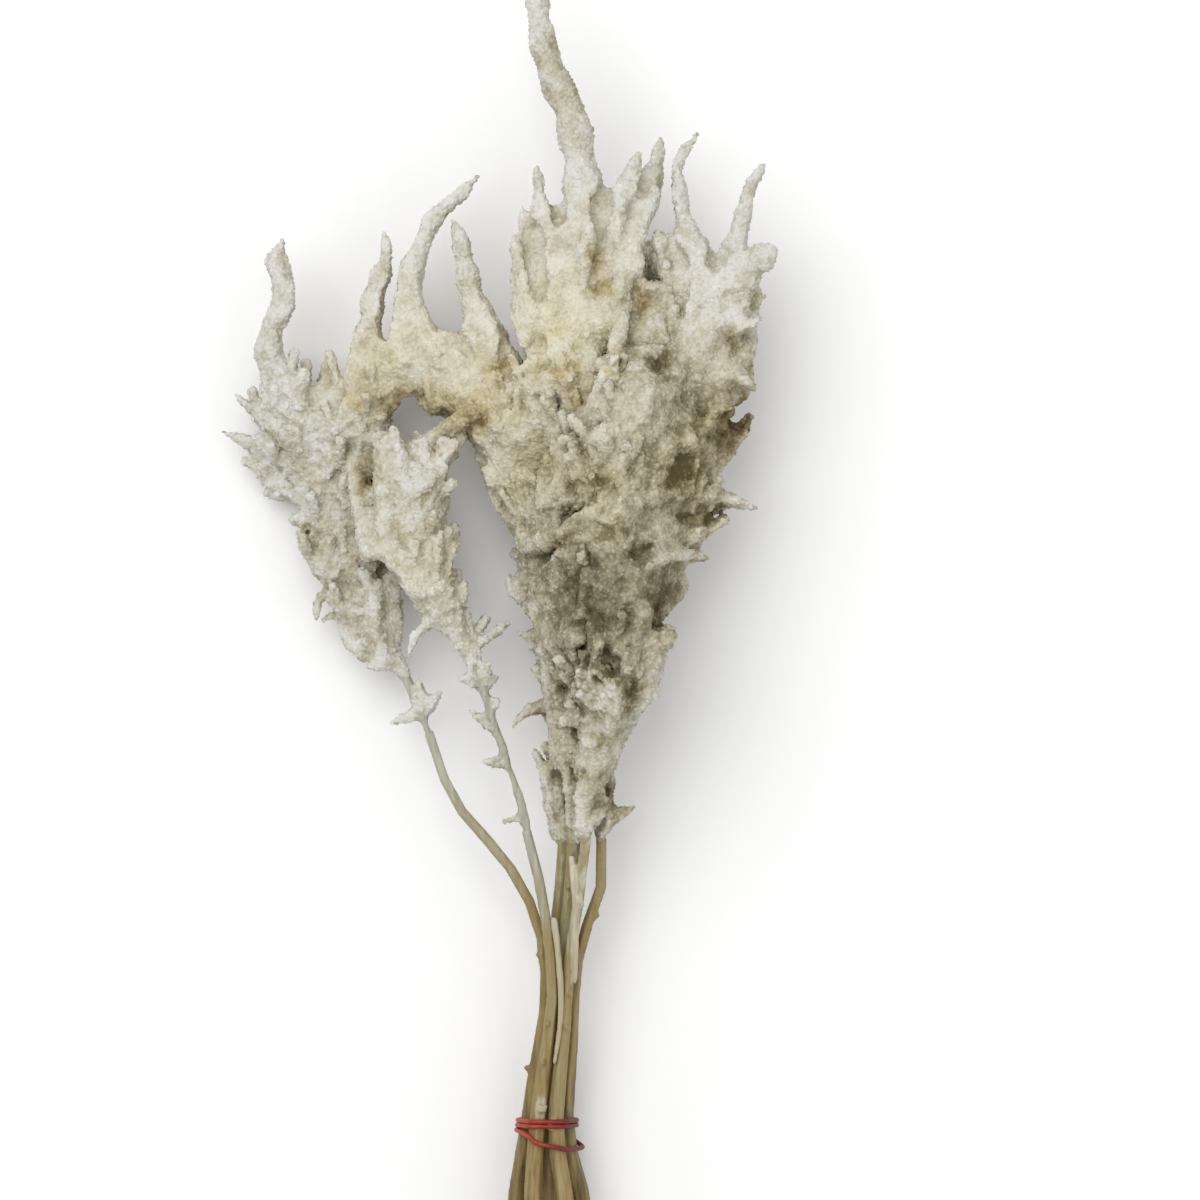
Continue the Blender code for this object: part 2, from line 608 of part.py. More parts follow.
def merge_seams(obj):
    """Merges the short edges along a union's seams, by the longest step that leaves it closed."""
    for step in SEAM_STEPS:
        shell = bmesh.new()
        shell.from_mesh(obj.data)
        bmesh.ops.dissolve_degenerate(shell, dist=step * MM, edges=shell.edges)
        closed = all(len(edge.link_faces) == 2 for edge in shell.edges)
        closed = closed and all(vertex.is_manifold for vertex in shell.verts)
        if closed:
            shell.to_mesh(obj.data)
        shell.free()
        if closed:
            return


def keep_largest(obj):
    """Drops sealed hollows and loose scraps that a union can leave."""
    shell = bmesh.new()
    shell.from_mesh(obj.data)
    unseen = set(shell.verts)
    bodies = []
    while unseen:
        body = set()
        edge = [unseen.pop()]
        while edge:
            vertex = edge.pop()
            body.add(vertex)
            for link in vertex.link_edges:
                other = link.other_vert(vertex)
                if other in unseen:
                    unseen.discard(other)
                    edge.append(other)
        bodies.append(body)
    bodies.sort(key=len)
    for body in bodies[:-1]:
        bmesh.ops.delete(shell, geom=list(body), context="VERTS")
    shell.to_mesh(obj.data)
    shell.free()


def floor_block(group):
    """The block that takes off whatever is below the surface."""
    bpy.ops.mesh.primitive_cube_add(size=1.0, location=(0.0, FLOOR_BLOCK_Y, -FLOOR_BLOCK[2] / 2))
    block = bpy.context.object
    block.name = "floor block"
    block.scale = FLOOR_BLOCK
    block.hide_render = True
    block.display_type = "WIRE"
    for holder in list(block.users_collection):
        holder.objects.unlink(block)
    group.objects.link(block)
    bpy.context.view_layer.update()
    return block


def cut_flat(obj, block):
    """Cuts a piece level with the surface that it rests on."""
    cut = obj.modifiers.new("Floor", "BOOLEAN")
    cut.operation = "DIFFERENCE"
    cut.object = block
    cut.solver = "MANIFOLD"
    bake(obj)


def material(name):
    colour, roughness = COLOURS[name]
    made = bpy.data.materials.new(name)
    made.use_nodes = True
    shader = made.node_tree.nodes["Principled BSDF"]
    shader.inputs["Base Color"].default_value = colour
    shader.inputs["Roughness"].default_value = roughness
    shader.inputs["Metallic"].default_value = 0.0
    return made


def finish(obj, surface, home):
    """Gives a piece its material, its place among the others and smooth shading."""
    obj.data.materials.clear()
    obj.data.materials.append(surface)
    if obj.name not in home.objects:
        home.objects.link(obj)
    for polygon in obj.data.polygons:
        polygon.use_smooth = True
    obj.data.set_sharp_from_angle(angle=SMOOTH_ANGLE)


def make_stem(name, plant, route, surface, home, block):
    """A bare stem from its cut end to the first florets, with its cut side shoots."""
    end = route.marks[first_floret(plant)]
    points, radii = route.sample(0.0, end, STEM_STEP)
    stem = tube("stem_" + name, points, radii, STEM_SIDES)
    home.objects.link(stem)
    axis, sizes = route.sample(0.0, end, 1.0)
    stubs = []
    for index, (y, degrees) in enumerate(plant["stubs"]):
        nearest = np.argmin(np.abs(axis[:, 1] - y))
        angle = math.radians(degrees)
        outward = unit(np.array((math.cos(angle), STUB_LEAN, math.sin(angle))))
        reach = sizes[nearest] + np.array(STUB_RINGS)
        stub_points = axis[nearest] + outward * reach[:, None]
        stubs.append(tube(f"stub {name} {index}", stub_points, STUB_RADII, STUB_SIDES))
    unite(stem, stubs, home)
    if min(vertex.co.z for vertex in stem.data.vertices) < 0.0:
        cut_flat(stem, block)
    finish(stem, surface, home)


def make_head(name, plant, route, chains, surface, home, block):
    """A flower head: its rachis and every spike joined into one solid."""
    start = route.marks[first_floret(plant)] + PIECE_GAP
    end = route.marks[-1]
    points, radii = route.sample(start, end, AXIS_STEP)
    head = tube("head_" + name, points, knobbed(rounded_tip(radii, AXIS_STEP)), AXIS_SIDES)
    crust(head, len(chains), CORE_CRUST, Vector(points[0]))
    home.objects.link(head)
    spikes = []
    for index, chain in enumerate(chains):
        rings, sizes, step = resampled(chain.points, chain.radii, SPIKE_STEP)
        sizes = knobbed(rounded_tip(sizes, step))
        spike = tube(f"spike {name} {index}", rings, sizes, SPIKE_SIDES)
        crust(spike, index, CRUST, Vector(rings[0]))
        spikes.append(spike)
    unite(head, spikes, home)
    merge_seams(head)
    if name in RESTING_HEADS:
        cut_flat(head, block)
    keep_largest(head)
    finish(head, surface, home)


def band_place(angle, y, lift):
    """A point on the band's line where its outward direction makes the given angle."""
    x, z, radius, spread = bundle_section(y)
    slot = math.radians(60 * round(math.degrees(angle) / 60))
    reach = (radius + PIECE_GAP + BAND_RADIUS) / math.cos(math.radians(BAND_CORNER)) + lift
    return (
        x + spread * math.cos(slot) + reach * math.cos(angle),
        y,
        z + spread * math.sin(slot) + reach * math.sin(angle),
    )


def make_band(surface, home):
    """A closed rubber band, wound three times: two turns side by side, one slack and slanting.

    It starts under the bundle and goes round by the left, the top and the right. Under the
    bundle its end crosses over the other turns to its start.
    """
    points = []
    for turn in range(BAND_TURNS):
        for slot in (240, 180, 120, 60, 0, -60):
            for corner in (-BAND_CORNER, BAND_CORNER):
                degrees = slot - corner
                share = (270.0 - degrees) / 360.0
                y = BAND_TOP_Y - BAND_PITCH * (turn + step_up(share, BAND_PITCH_SPAN))
                lift = 0.0
                if turn == BAND_TURNS - 1:
                    y = BAND_TOP_Y - BAND_PITCH * turn
                    y += (BAND_LOW_Y - y) * step_up(share, BAND_SLACK_SPAN)
                    y += (BAND_TOP_Y - y) * step_up(share, BAND_RETURN_SPAN)
                    lift = BAND_CROSS_LIFT * step_up(share, BAND_RISE_SPAN)
                if turn == 0:
                    lift = BAND_CROSS_LIFT * (1.0 - step_up(share, BAND_FALL_SPAN))
                points.append(band_place(math.radians(degrees), y, lift))
    band = tube("rubber_band", points, [BAND_RADIUS] * len(points), BAND_SIDES, closed=True)
    finish(band, surface, home)


def step_up(value, span):
    """0 below a span, 1 above it and a smooth rise between."""
    low, high = span
    u = min(1.0, max(0.0, (value - low) / (high - low)))
    return u * u * (3.0 - 2.0 * u)


def stand_on_origin(home):
    """Moves every piece so that the origin is under the middle of the bunch."""
    corners = np.array([vertex.co for obj in home.objects for vertex in obj.data.vertices])
    low, high = corners.min(axis=0), corners.max(axis=0)
    middle = Vector(((low[0] + high[0]) / 2, (low[1] + high[1]) / 2, low[2]))
    for obj in home.objects:
        obj.data.transform(Matrix.Translation(-middle))
    print("moved by", [round(value / MM, 3) for value in -middle], "mm")
    print("size", [round(value / MM, 1) for value in high - low], "mm")


def build():
    for obj in list(bpy.data.objects):
        bpy.data.objects.remove(obj)
    home = bpy.data.collections.new("preserved_amaranthus_bunch")
    bpy.context.scene.collection.children.link(home)
    cutters = bpy.data.collections.new("cutters")
    bpy.context.scene.collection.children.link(cutters)
    block = floor_block(cutters)
    surfaces = {name: material(name) for name in COLOURS}
    draw = random.Random(SEED)
    routes = {name: plant_route(plant) for name, plant in PLANTS.items()}
    chains = []
    for name, plant in PLANTS.items():
        route = routes[name]
        points, radii = route.sample(0.0, route.marks[first_floret(plant)], CHAIN_STEP)
        chains.append(Chain("stem " + name, points, radii, 0.0))
        chains += head_chains(name, plant, route, draw)
    bend_clear(chains)
    cut_short(chains)
    for name, plant in PLANTS.items():
        make_stem(name, plant, routes[name], surfaces["stem"], home, block)
        own = [chain for chain in chains if chain.owner == name and chain.freedom > 0]
        make_head(name, plant, routes[name], own, surfaces["floret"], home, block)
    make_band(surfaces["rubber"], home)
    bpy.data.objects.remove(block)
    bpy.data.collections.remove(cutters)
    stand_on_origin(home)


build()
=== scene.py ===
import json
import math
import time

import bpy
import numpy as np
from mathutils import Matrix, Vector

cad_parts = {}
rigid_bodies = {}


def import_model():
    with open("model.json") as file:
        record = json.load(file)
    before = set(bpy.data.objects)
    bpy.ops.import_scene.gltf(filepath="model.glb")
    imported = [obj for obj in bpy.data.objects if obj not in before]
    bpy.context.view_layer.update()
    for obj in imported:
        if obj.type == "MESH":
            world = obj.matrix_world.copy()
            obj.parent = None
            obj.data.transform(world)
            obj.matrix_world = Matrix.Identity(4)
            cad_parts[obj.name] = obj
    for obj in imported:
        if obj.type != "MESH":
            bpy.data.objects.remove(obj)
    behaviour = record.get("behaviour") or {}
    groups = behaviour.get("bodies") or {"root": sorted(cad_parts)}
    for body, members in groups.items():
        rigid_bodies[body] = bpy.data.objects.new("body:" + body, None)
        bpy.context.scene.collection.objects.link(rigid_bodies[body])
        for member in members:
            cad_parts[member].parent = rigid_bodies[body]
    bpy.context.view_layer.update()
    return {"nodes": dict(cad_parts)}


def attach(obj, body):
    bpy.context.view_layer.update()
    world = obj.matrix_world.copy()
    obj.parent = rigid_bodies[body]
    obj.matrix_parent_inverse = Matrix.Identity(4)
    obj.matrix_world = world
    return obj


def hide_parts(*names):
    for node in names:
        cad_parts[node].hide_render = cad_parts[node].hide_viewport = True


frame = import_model()
began = time.time()
print("frame loaded,", len(frame["nodes"]), "nodes")

# The bunch was laid out in plan: x from the middle of the tied stems, y along the bunch from the photo's
# lower edge, z up, in millimetres. The cut end of the middle stem is the known point.
layout = {
    "middleStem": "stem_centre",
    "cutEnd": (-4.5, -75.0, 21.6),
    "photoCentre": (20.0, 300.0),
    "photoWidth": 600.0,
    "roof": 0.1085,
}


def vertexArray(mesh):
    places = np.empty(len(mesh.vertices) * 3, dtype=np.float32)
    mesh.vertices.foreach_get("co", places)
    return places.reshape(-1, 3).astype(float)


def normalArray(mesh):
    normals = np.empty(len(mesh.vertices) * 3, dtype=np.float32)
    mesh.vertex_normals.foreach_get("vector", normals)
    return normals.reshape(-1, 3).astype(float)


def findLayoutOrigin():
    points = vertexArray(frame["nodes"][layout["middleStem"]].data)
    end = points[points[:, 1] < points[:, 1].min() + 0.002]
    centre = (end.min(axis=0) + end.max(axis=0)) / 2
    centre[1] = points[:, 1].min()
    return centre - np.array(layout["cutEnd"]) * 0.001


origin = findLayoutOrigin()


def inPlan(points):
    return origin + np.array(points, dtype=float) * 0.001


# Modelling helpers

def pick(piece):
    bpy.ops.object.select_all(action="DESELECT")
    piece.select_set(True)
    bpy.context.view_layer.objects.active = piece


def finished(piece, kind, **settings):
    pick(piece)
    bpy.ops.object.modifier_add(type=kind)
    modifier = piece.modifiers[-1]
    for name, value in settings.items():
        setattr(modifier, name, value)
    bpy.ops.object.modifier_apply(modifier=modifier.name)


def copyOfNode(node, name):
    piece = bpy.data.objects.new(name, frame["nodes"][node].data.copy())
    piece.data.materials.clear()
    bpy.context.scene.collection.objects.link(piece)
    pick(piece)
    bpy.ops.object.mode_set(mode="EDIT")
    bpy.ops.mesh.select_all(action="SELECT")
    bpy.ops.mesh.remove_doubles(threshold=0.00001)
    bpy.ops.mesh.select_all(action="DESELECT")
    bpy.ops.object.mode_set(mode="OBJECT")
    return piece


def joined(pieces, name):
    pick(pieces[0])
    for piece in pieces:
        piece.select_set(True)
    bpy.ops.object.join()
    pieces[0].name = name
    pieces[0].data.name = name
    return pieces[0]


def setNumbers(mesh, name, values):
    layer = mesh.attributes.get(name) or mesh.attributes.new(name, "FLOAT", "POINT")
    layer.data.foreach_set("value", np.asarray(values, dtype=np.float32))


def copiesOf(model, name, places, axes, sizes, wobble=0.0, draw=None):
    # one mesh that holds a copy of the model at each place; axes holds each copy's own x, y and z
    corners = vertexArray(model.data)
    model.data.calc_loop_triangles()
    faces = np.empty(len(model.data.loop_triangles) * 3, dtype=np.int32)
    model.data.loop_triangles.foreach_get("vertices", faces)
    count = len(places)
    shaped = corners[None] * sizes[:, None, :]
    if wobble:
        shaped = shaped * (1.0 + draw.uniform(-wobble, wobble, shaped.shape))
    points = np.einsum("nvk,nkj->nvj", shaped, axes) + places[:, None, :]
    shifts = (np.arange(count, dtype=np.int32) * len(corners))[:, None]
    loops = (faces[None, :] + shifts).ravel()
    mesh = bpy.data.meshes.new(name)
    mesh.vertices.add(count * len(corners))
    mesh.vertices.foreach_set("co", points.astype(np.float32).ravel())
    mesh.loops.add(len(loops))
    mesh.loops.foreach_set("vertex_index", loops)
    mesh.polygons.add(len(loops) // 3)
    mesh.polygons.foreach_set("loop_start", np.arange(0, len(loops), 3, dtype=np.int32))
    mesh.update(calc_edges=True)
    piece = bpy.data.objects.new(name, mesh)
    bpy.context.scene.collection.objects.link(piece)
    return piece


def evenlyPicked(points, spacing, draw):
    # at most one point for each cube of space
    cells = np.floor(points / spacing).astype(np.int64)
    cells -= cells.min(axis=0)
    span = cells.max(axis=0) + 1
    keys = (cells[:, 0] * span[1] + cells[:, 1]) * span[2] + cells[:, 2]
    order = draw.permutation(len(points))
    _, first = np.unique(keys[order], return_index=True)
    return order[first]


def unitRows(rows):
    return rows / np.maximum(np.linalg.norm(rows, axis=1, keepdims=True), 1e-12)


def axesAbout(up, draw):
    # a random turn about each upward direction
    aside = unitRows(np.cross(up, draw.normal(size=up.shape)))
    return np.stack((aside, np.cross(up, aside), up), axis=1)


def distanceToLine(points, line):
    nearest = np.full(len(points), np.inf)
    for start, end in zip(line[:-1], line[1:]):
        along = end - start
        share = np.clip((points - start) @ along / (along @ along), 0.0, 1.0)
        gap = np.linalg.norm(points - start - share[:, None] * along, axis=1)
        nearest = np.minimum(nearest, gap)
    return nearest


# Flower heads: each follows its CAD solid, with buds added, its skin remeshed and lumped, and florets on it

crust = {
    "firstVoxel": 0.0016,
    "fill": 0.0030,
    "voxel": 0.0009,
    "smoothing": 3,
    "shrink": 0.0002,
    "swells": (("CLOUDS", 0.009, 0.0020, "crusted"), ("VORONOI", 0.0062, 0.0030, "frilly"),
               ("VORONOI", 0.0025, -0.0010, "crusted")),
    "fingerSpacing": 0.015,
    "fingerLength": (0.012, 0.019),
    "fingerWidth": (0.0025, 0.0034),
    "budSpacing": 0.0048,
    "budLength": (0.0022, 0.0042),
    "budWidth": (0.0012, 0.0019),
    "smoothAbove": (370, 420),
    "dense": 0.42,
    "skinShare": 0.355,
    "inset": 0.0012,
    "hollow": 0.006,
    "hollowWidth": 8.5,
    "smoothBelow": (215, 245),
    "floretSpacing": 0.00285,
    "floretWidth": (0.0011, 0.0017),
    "floretHeight": (0.0008, 0.0014),
    "floretTilt": 0.2,
    # the side that faces the key light, which the tone paints lighter
    "paintedLitSide": (-0.6, 0.5, 0.62),
}

# Fingers that were set one by one: points in plan, radius at the root and at the tip, and how far it climbs
setFingers = [
    (((13, 431), (12, 460), (14, 492.5)), 3.9, 2.6, 6),
    (((6, 424), (4.5, 455), (3, 489)), 3.4, 2.6, 5),
    (((-1, 426), (-3, 457.5), (-4.5, 487.5)), 3.4, 2.6, 4),
    (((-8.5, 424), (-12, 452.5), (-13, 482.5)), 3.9, 2.6, 3),
    (((-15, 427.5), (-19.5, 455), (-21.5, 481)), 3.9, 2.6, 1),
    (((22, 450), (26, 480), (33, 500)), 4.4, 3.1, 4),
    (((28, 450), (37, 477.5), (47.5, 505)), 5.4, 4.1, 3),
    (((19, 437.5), (30.5, 454), (44, 476.5)), 4.4, 3.6, 4),
    (((20, 422), (26.5, 432), (34.5, 442)), 2.9, 2.1, 3),
    (((26.5, 418), (34, 427.5), (40, 437)), 2.9, 2.1, 3),
    (((40, 432.5), (45.5, 452.5), (48, 474)), 4.9, 3.6, -4),
    (((58, 404), (65, 432.5), (68, 460)), 5.4, 4.1, 3),
    (((70, 414), (78, 440), (81, 462.5)), 4.9, 4.1, 3),
    (((83, 424), (90, 445), (96, 460)), 4.9, 3.6, 2),
    (((7.5, 390), (6, 407.5), (3, 422.5)), 3.9, 2.6, 3),
    (((16, 384), (16, 404), (18.5, 424)), 4.4, 3.1, 4),
    (((26, 384), (29, 404), (36, 424)), 4.4, 3.1, 4),
    (((35, 376), (41.5, 394), (47.5, 412.5)), 4.4, 3.1, 4),
    (((-2, 385), (-7, 404), (-11, 422.5)), 4.4, 3.1, 3),
    (((-12.5, 380), (-18.5, 397.5), (-24, 411)), 3.9, 3.1, 1),
    (((0, 350), (-2, 370), (-3.5, 387.5)), 4.4, 3.1, 4),
    (((12.5, 347.5), (13, 367.5), (15, 384)), 4.4, 3.1, 4),
    (((-12.5, 340), (-19, 360), (-25, 375)), 4.4, 3.1, 2),
    (((54, 390), (65, 406), (81, 414), (97, 407)), 4.4, 3.1, 5),
    (((65, 415), (76, 427.5), (89, 433.5), (101, 441)), 3.9, 2.6, 4),
    (((40, 380), (47.5, 392.5), (61, 400)), 3.9, 3.1, 4),
    (((43, 364), (49, 374), (58, 380), (69, 378)), 3.9, 3.1, 5),
    (((30, 365), (36, 377.5), (44, 387.5)), 3.9, 2.6, 4),
    (((54, 334), (62, 349), (73, 356), (89, 350), (98, 345)), 4.4, 2.1, 2),
    (((42.5, 316), (54, 321.5), (66, 323.5), (73.5, 320)), 3.9, 3.1, 2),
    (((40, 294), (51, 302), (62, 307.5)), 5.9, 5.1, -3),
    (((38, 272.5), (47.5, 280), (56.5, 285)), 5.4, 5.1, 0),
    (((34, 340), (42.5, 354), (51, 362)), 3.9, 2.6, 4),
    (((26, 326), (34, 340), (40, 350)), 3.9, 2.6, 4),
    (((45, 332.5), (54, 344), (65, 350)), 3.9, 3.1, 3),
    (((15, 320), (14, 337.5), (16, 350)), 3.9, 2.6, 4),
    (((3, 312.5), (0, 330), (-2, 345)), 4.4, 3.1, 4),
    (((-7.5, 305), (-13.5, 324), (-19, 340)), 4.4, 3.1, 2),
    (((0, 275), (-3.5, 295), (-7.5, 312.5)), 4.9, 3.6, 3),
    (((12.5, 280), (11.5, 300), (13, 315)), 4.4, 3.1, 4),
    (((25, 287.5), (28.5, 305), (34, 317.5)), 4.4, 3.1, 4),
    (((4, 244), (0, 262.5), (-4, 280)), 4.9, 3.6, 3),
    (((16, 247.5), (16.5, 266), (20, 280)), 4.4, 3.1, 4),
    (((27.5, 250), (32.5, 267.5), (39, 280)), 4.4, 3.6, 3),
    (((6, 215), (1.5, 232.5), (-1.5, 250)), 4.4, 3.6, 3),
    (((19, 215), (23, 232.5), (29, 250)), 4.9, 3.6, 3),
    (((26, 234), (36, 242), (45, 255)), 4.4, 3.6, 2),
    (((30, 250), (40, 255), (46.5, 267.5)), 3.9, 3.6, 1),
    (((3, 181), (0, 200), (-2, 217.5)), 4.9, 3.6, 2),
    (((11, 182), (13, 202.5), (17, 222.5)), 5.4, 4.1, 3),
    (((20, 184), (22, 200), (26, 212.5)), 4.9, 3.6, 2),
    (((18, 212.5), (24, 224), (31, 229)), 3.9, 3.6, 3),
    (((0, 200), (-6, 212.5), (-13.5, 225)), 3.4, 2.6, -2),
    (((22, 189), (29, 194), (38, 197)), 4.4, 1.6, 0),
    (((-2, 180), (-4, 192.5), (-2, 205)), 3.9, 3.1, 1),
    (((9, 181), (8.5, 220), (10, 255)), 6.4, 5.6, 2),
    (((15, 200), (14, 230), (18, 260)), 5.9, 5.1, 1),
    (((20, 232.5), (31, 244), (43, 250)), 4.4, 4.1, -2),
    (((22, 242.5), (34, 256), (45, 259)), 3.9, 3.6, 2),
    (((-104, 390), (-104, 415), (-97, 441)), 5.9, 4.1, 3),
    (((-115, 380), (-119, 402.5), (-116, 421)), 4.9, 3.1, 3),
    (((-124, 375), (-128.5, 395), (-134, 407.5)), 4.4, 3.1, 3),
    (((-130, 370), (-142.5, 385), (-154, 396)), 4.4, 2.6, 3),
    (((-121, 360), (-137.5, 374), (-155, 381)), 4.9, 3.1, 3),
    (((-112.5, 350), (-130, 365), (-144, 372.5)), 4.4, 2.6, 4),
    (((-115, 340), (-134, 353), (-149, 360)), 3.9, 3.1, 2),
    (((-105, 330), (-121, 340), (-136, 340.5)), 4.4, 3.6, 2),
    (((-104, 320), (-117.5, 327.5), (-128, 327.5)), 4.4, 3.6, 1),
    (((-110, 365), (-111, 385), (-107.5, 400)), 4.4, 3.1, 4),
    (((-99, 320), (-102.5, 340), (-107.5, 360)), 4.4, 3.1, 4),
    (((-92.5, 350), (-95, 372.5), (-91, 390)), 3.9, 3.1, 2),
    (((-84, 340), (-86, 365), (-88, 385)), 4.4, 3.1, 2),
    (((-72.5, 327.5), (-77.5, 350), (-80, 372.5)), 4.4, 3.1, 4),
    (((-67.5, 327.5), (-66, 350), (-65, 371)), 4.4, 3.1, 3),
    (((-60, 300), (-67.5, 312.5), (-77.5, 322.5)), 4.4, 3.1, 3),
    (((-67.5, 295), (-72.5, 305), (-84, 320)), 3.9, 2.6, 2),
    (((-55, 295), (-57, 310), (-61, 320)), 3.9, 3.1, 2),
    (((-87.5, 267.5), (-94, 285), (-92.5, 305)), 4.4, 4.6, 3),
    (((-90, 275), (-105, 292.5), (-114, 305)), 4.9, 4.1, 2),
    (((-104, 287.5), (-113, 294), (-121, 289)), 3.4, 2.1, -1),
    (((-82.5, 280), (-81, 292.5), (-84, 302.5)), 3.9, 3.6, 1),
    (((-97.5, 270), (-104, 280), (-107.5, 295)), 4.4, 3.6, 1),
    (((-45, 410), (-52.5, 422.5), (-60, 435)), 4.9, 3.1, 2),
    (((-30, 385), (-37.5, 402.5), (-46, 420)), 4.9, 3.6, 3),
    (((-21, 365), (-28.5, 385), (-35, 405)), 4.9, 3.6, 3),
    (((-65, 405), (-72.5, 417.5), (-77.5, 435)), 4.9, 3.6, 3),
    (((-20, 340), (-26, 360), (-32.5, 375)), 4.4, 3.1, 1),
    (((-35, 415), (-41, 427.5), (-49, 439)), 3.9, 3.1, 1),
    (((56, 414), (67, 425), (78, 431)), 4.5, 3.5, 6),
    (((51, 390), (61, 404), (70, 412)), 4.5, 3.5, 7),
    (((71, 450), (82, 456), (93, 457)), 4.5, 3.5, 5),
    (((59, 320), (65, 330), (72, 336)), 4.5, 3.5, 4),
    (((47.5, 350), (56, 361), (65, 367)), 4.5, 3.5, 6),
    (((65, 380), (76, 390), (88, 395)), 4.5, 3.5, 4),
    (((54, 300), (58, 307.5), (62, 313)), 4.5, 4, 2),
    (((32.5, 300), (41, 310), (50, 317)), 4, 3, 5),
    (((29, 280), (37, 291), (46, 297)), 4, 3, 5),
    (((21, 305), (26, 317.5), (34, 327.5)), 3.5, 2.5, 5),
    (((22, 260), (29, 272.5), (37, 280)), 4, 3, 5),
    (((30, 424), (40, 440), (50, 458), (55, 470)), 5.5, 4, 4),
    (((46, 416), (53, 430), (58, 447)), 5, 3.6, 8),
    (((34, 412), (41, 427), (47, 443)), 4.6, 3.4, 9),
    (((12, 388), (19, 402), (24, 416)), 4.5, 3.5, 3),
    (((8, 362), (14, 376), (17, 390)), 4.5, 3.5, 3),
    (((2, 322), (7, 336), (9, 350)), 4.5, 3.5, 3),
    (((-14, 322), (-8, 336), (-6, 350)), 4.5, 3.5, 3),
    (((2, 296), (6, 308), (12, 322)), 4.5, 3.5, 3),
]

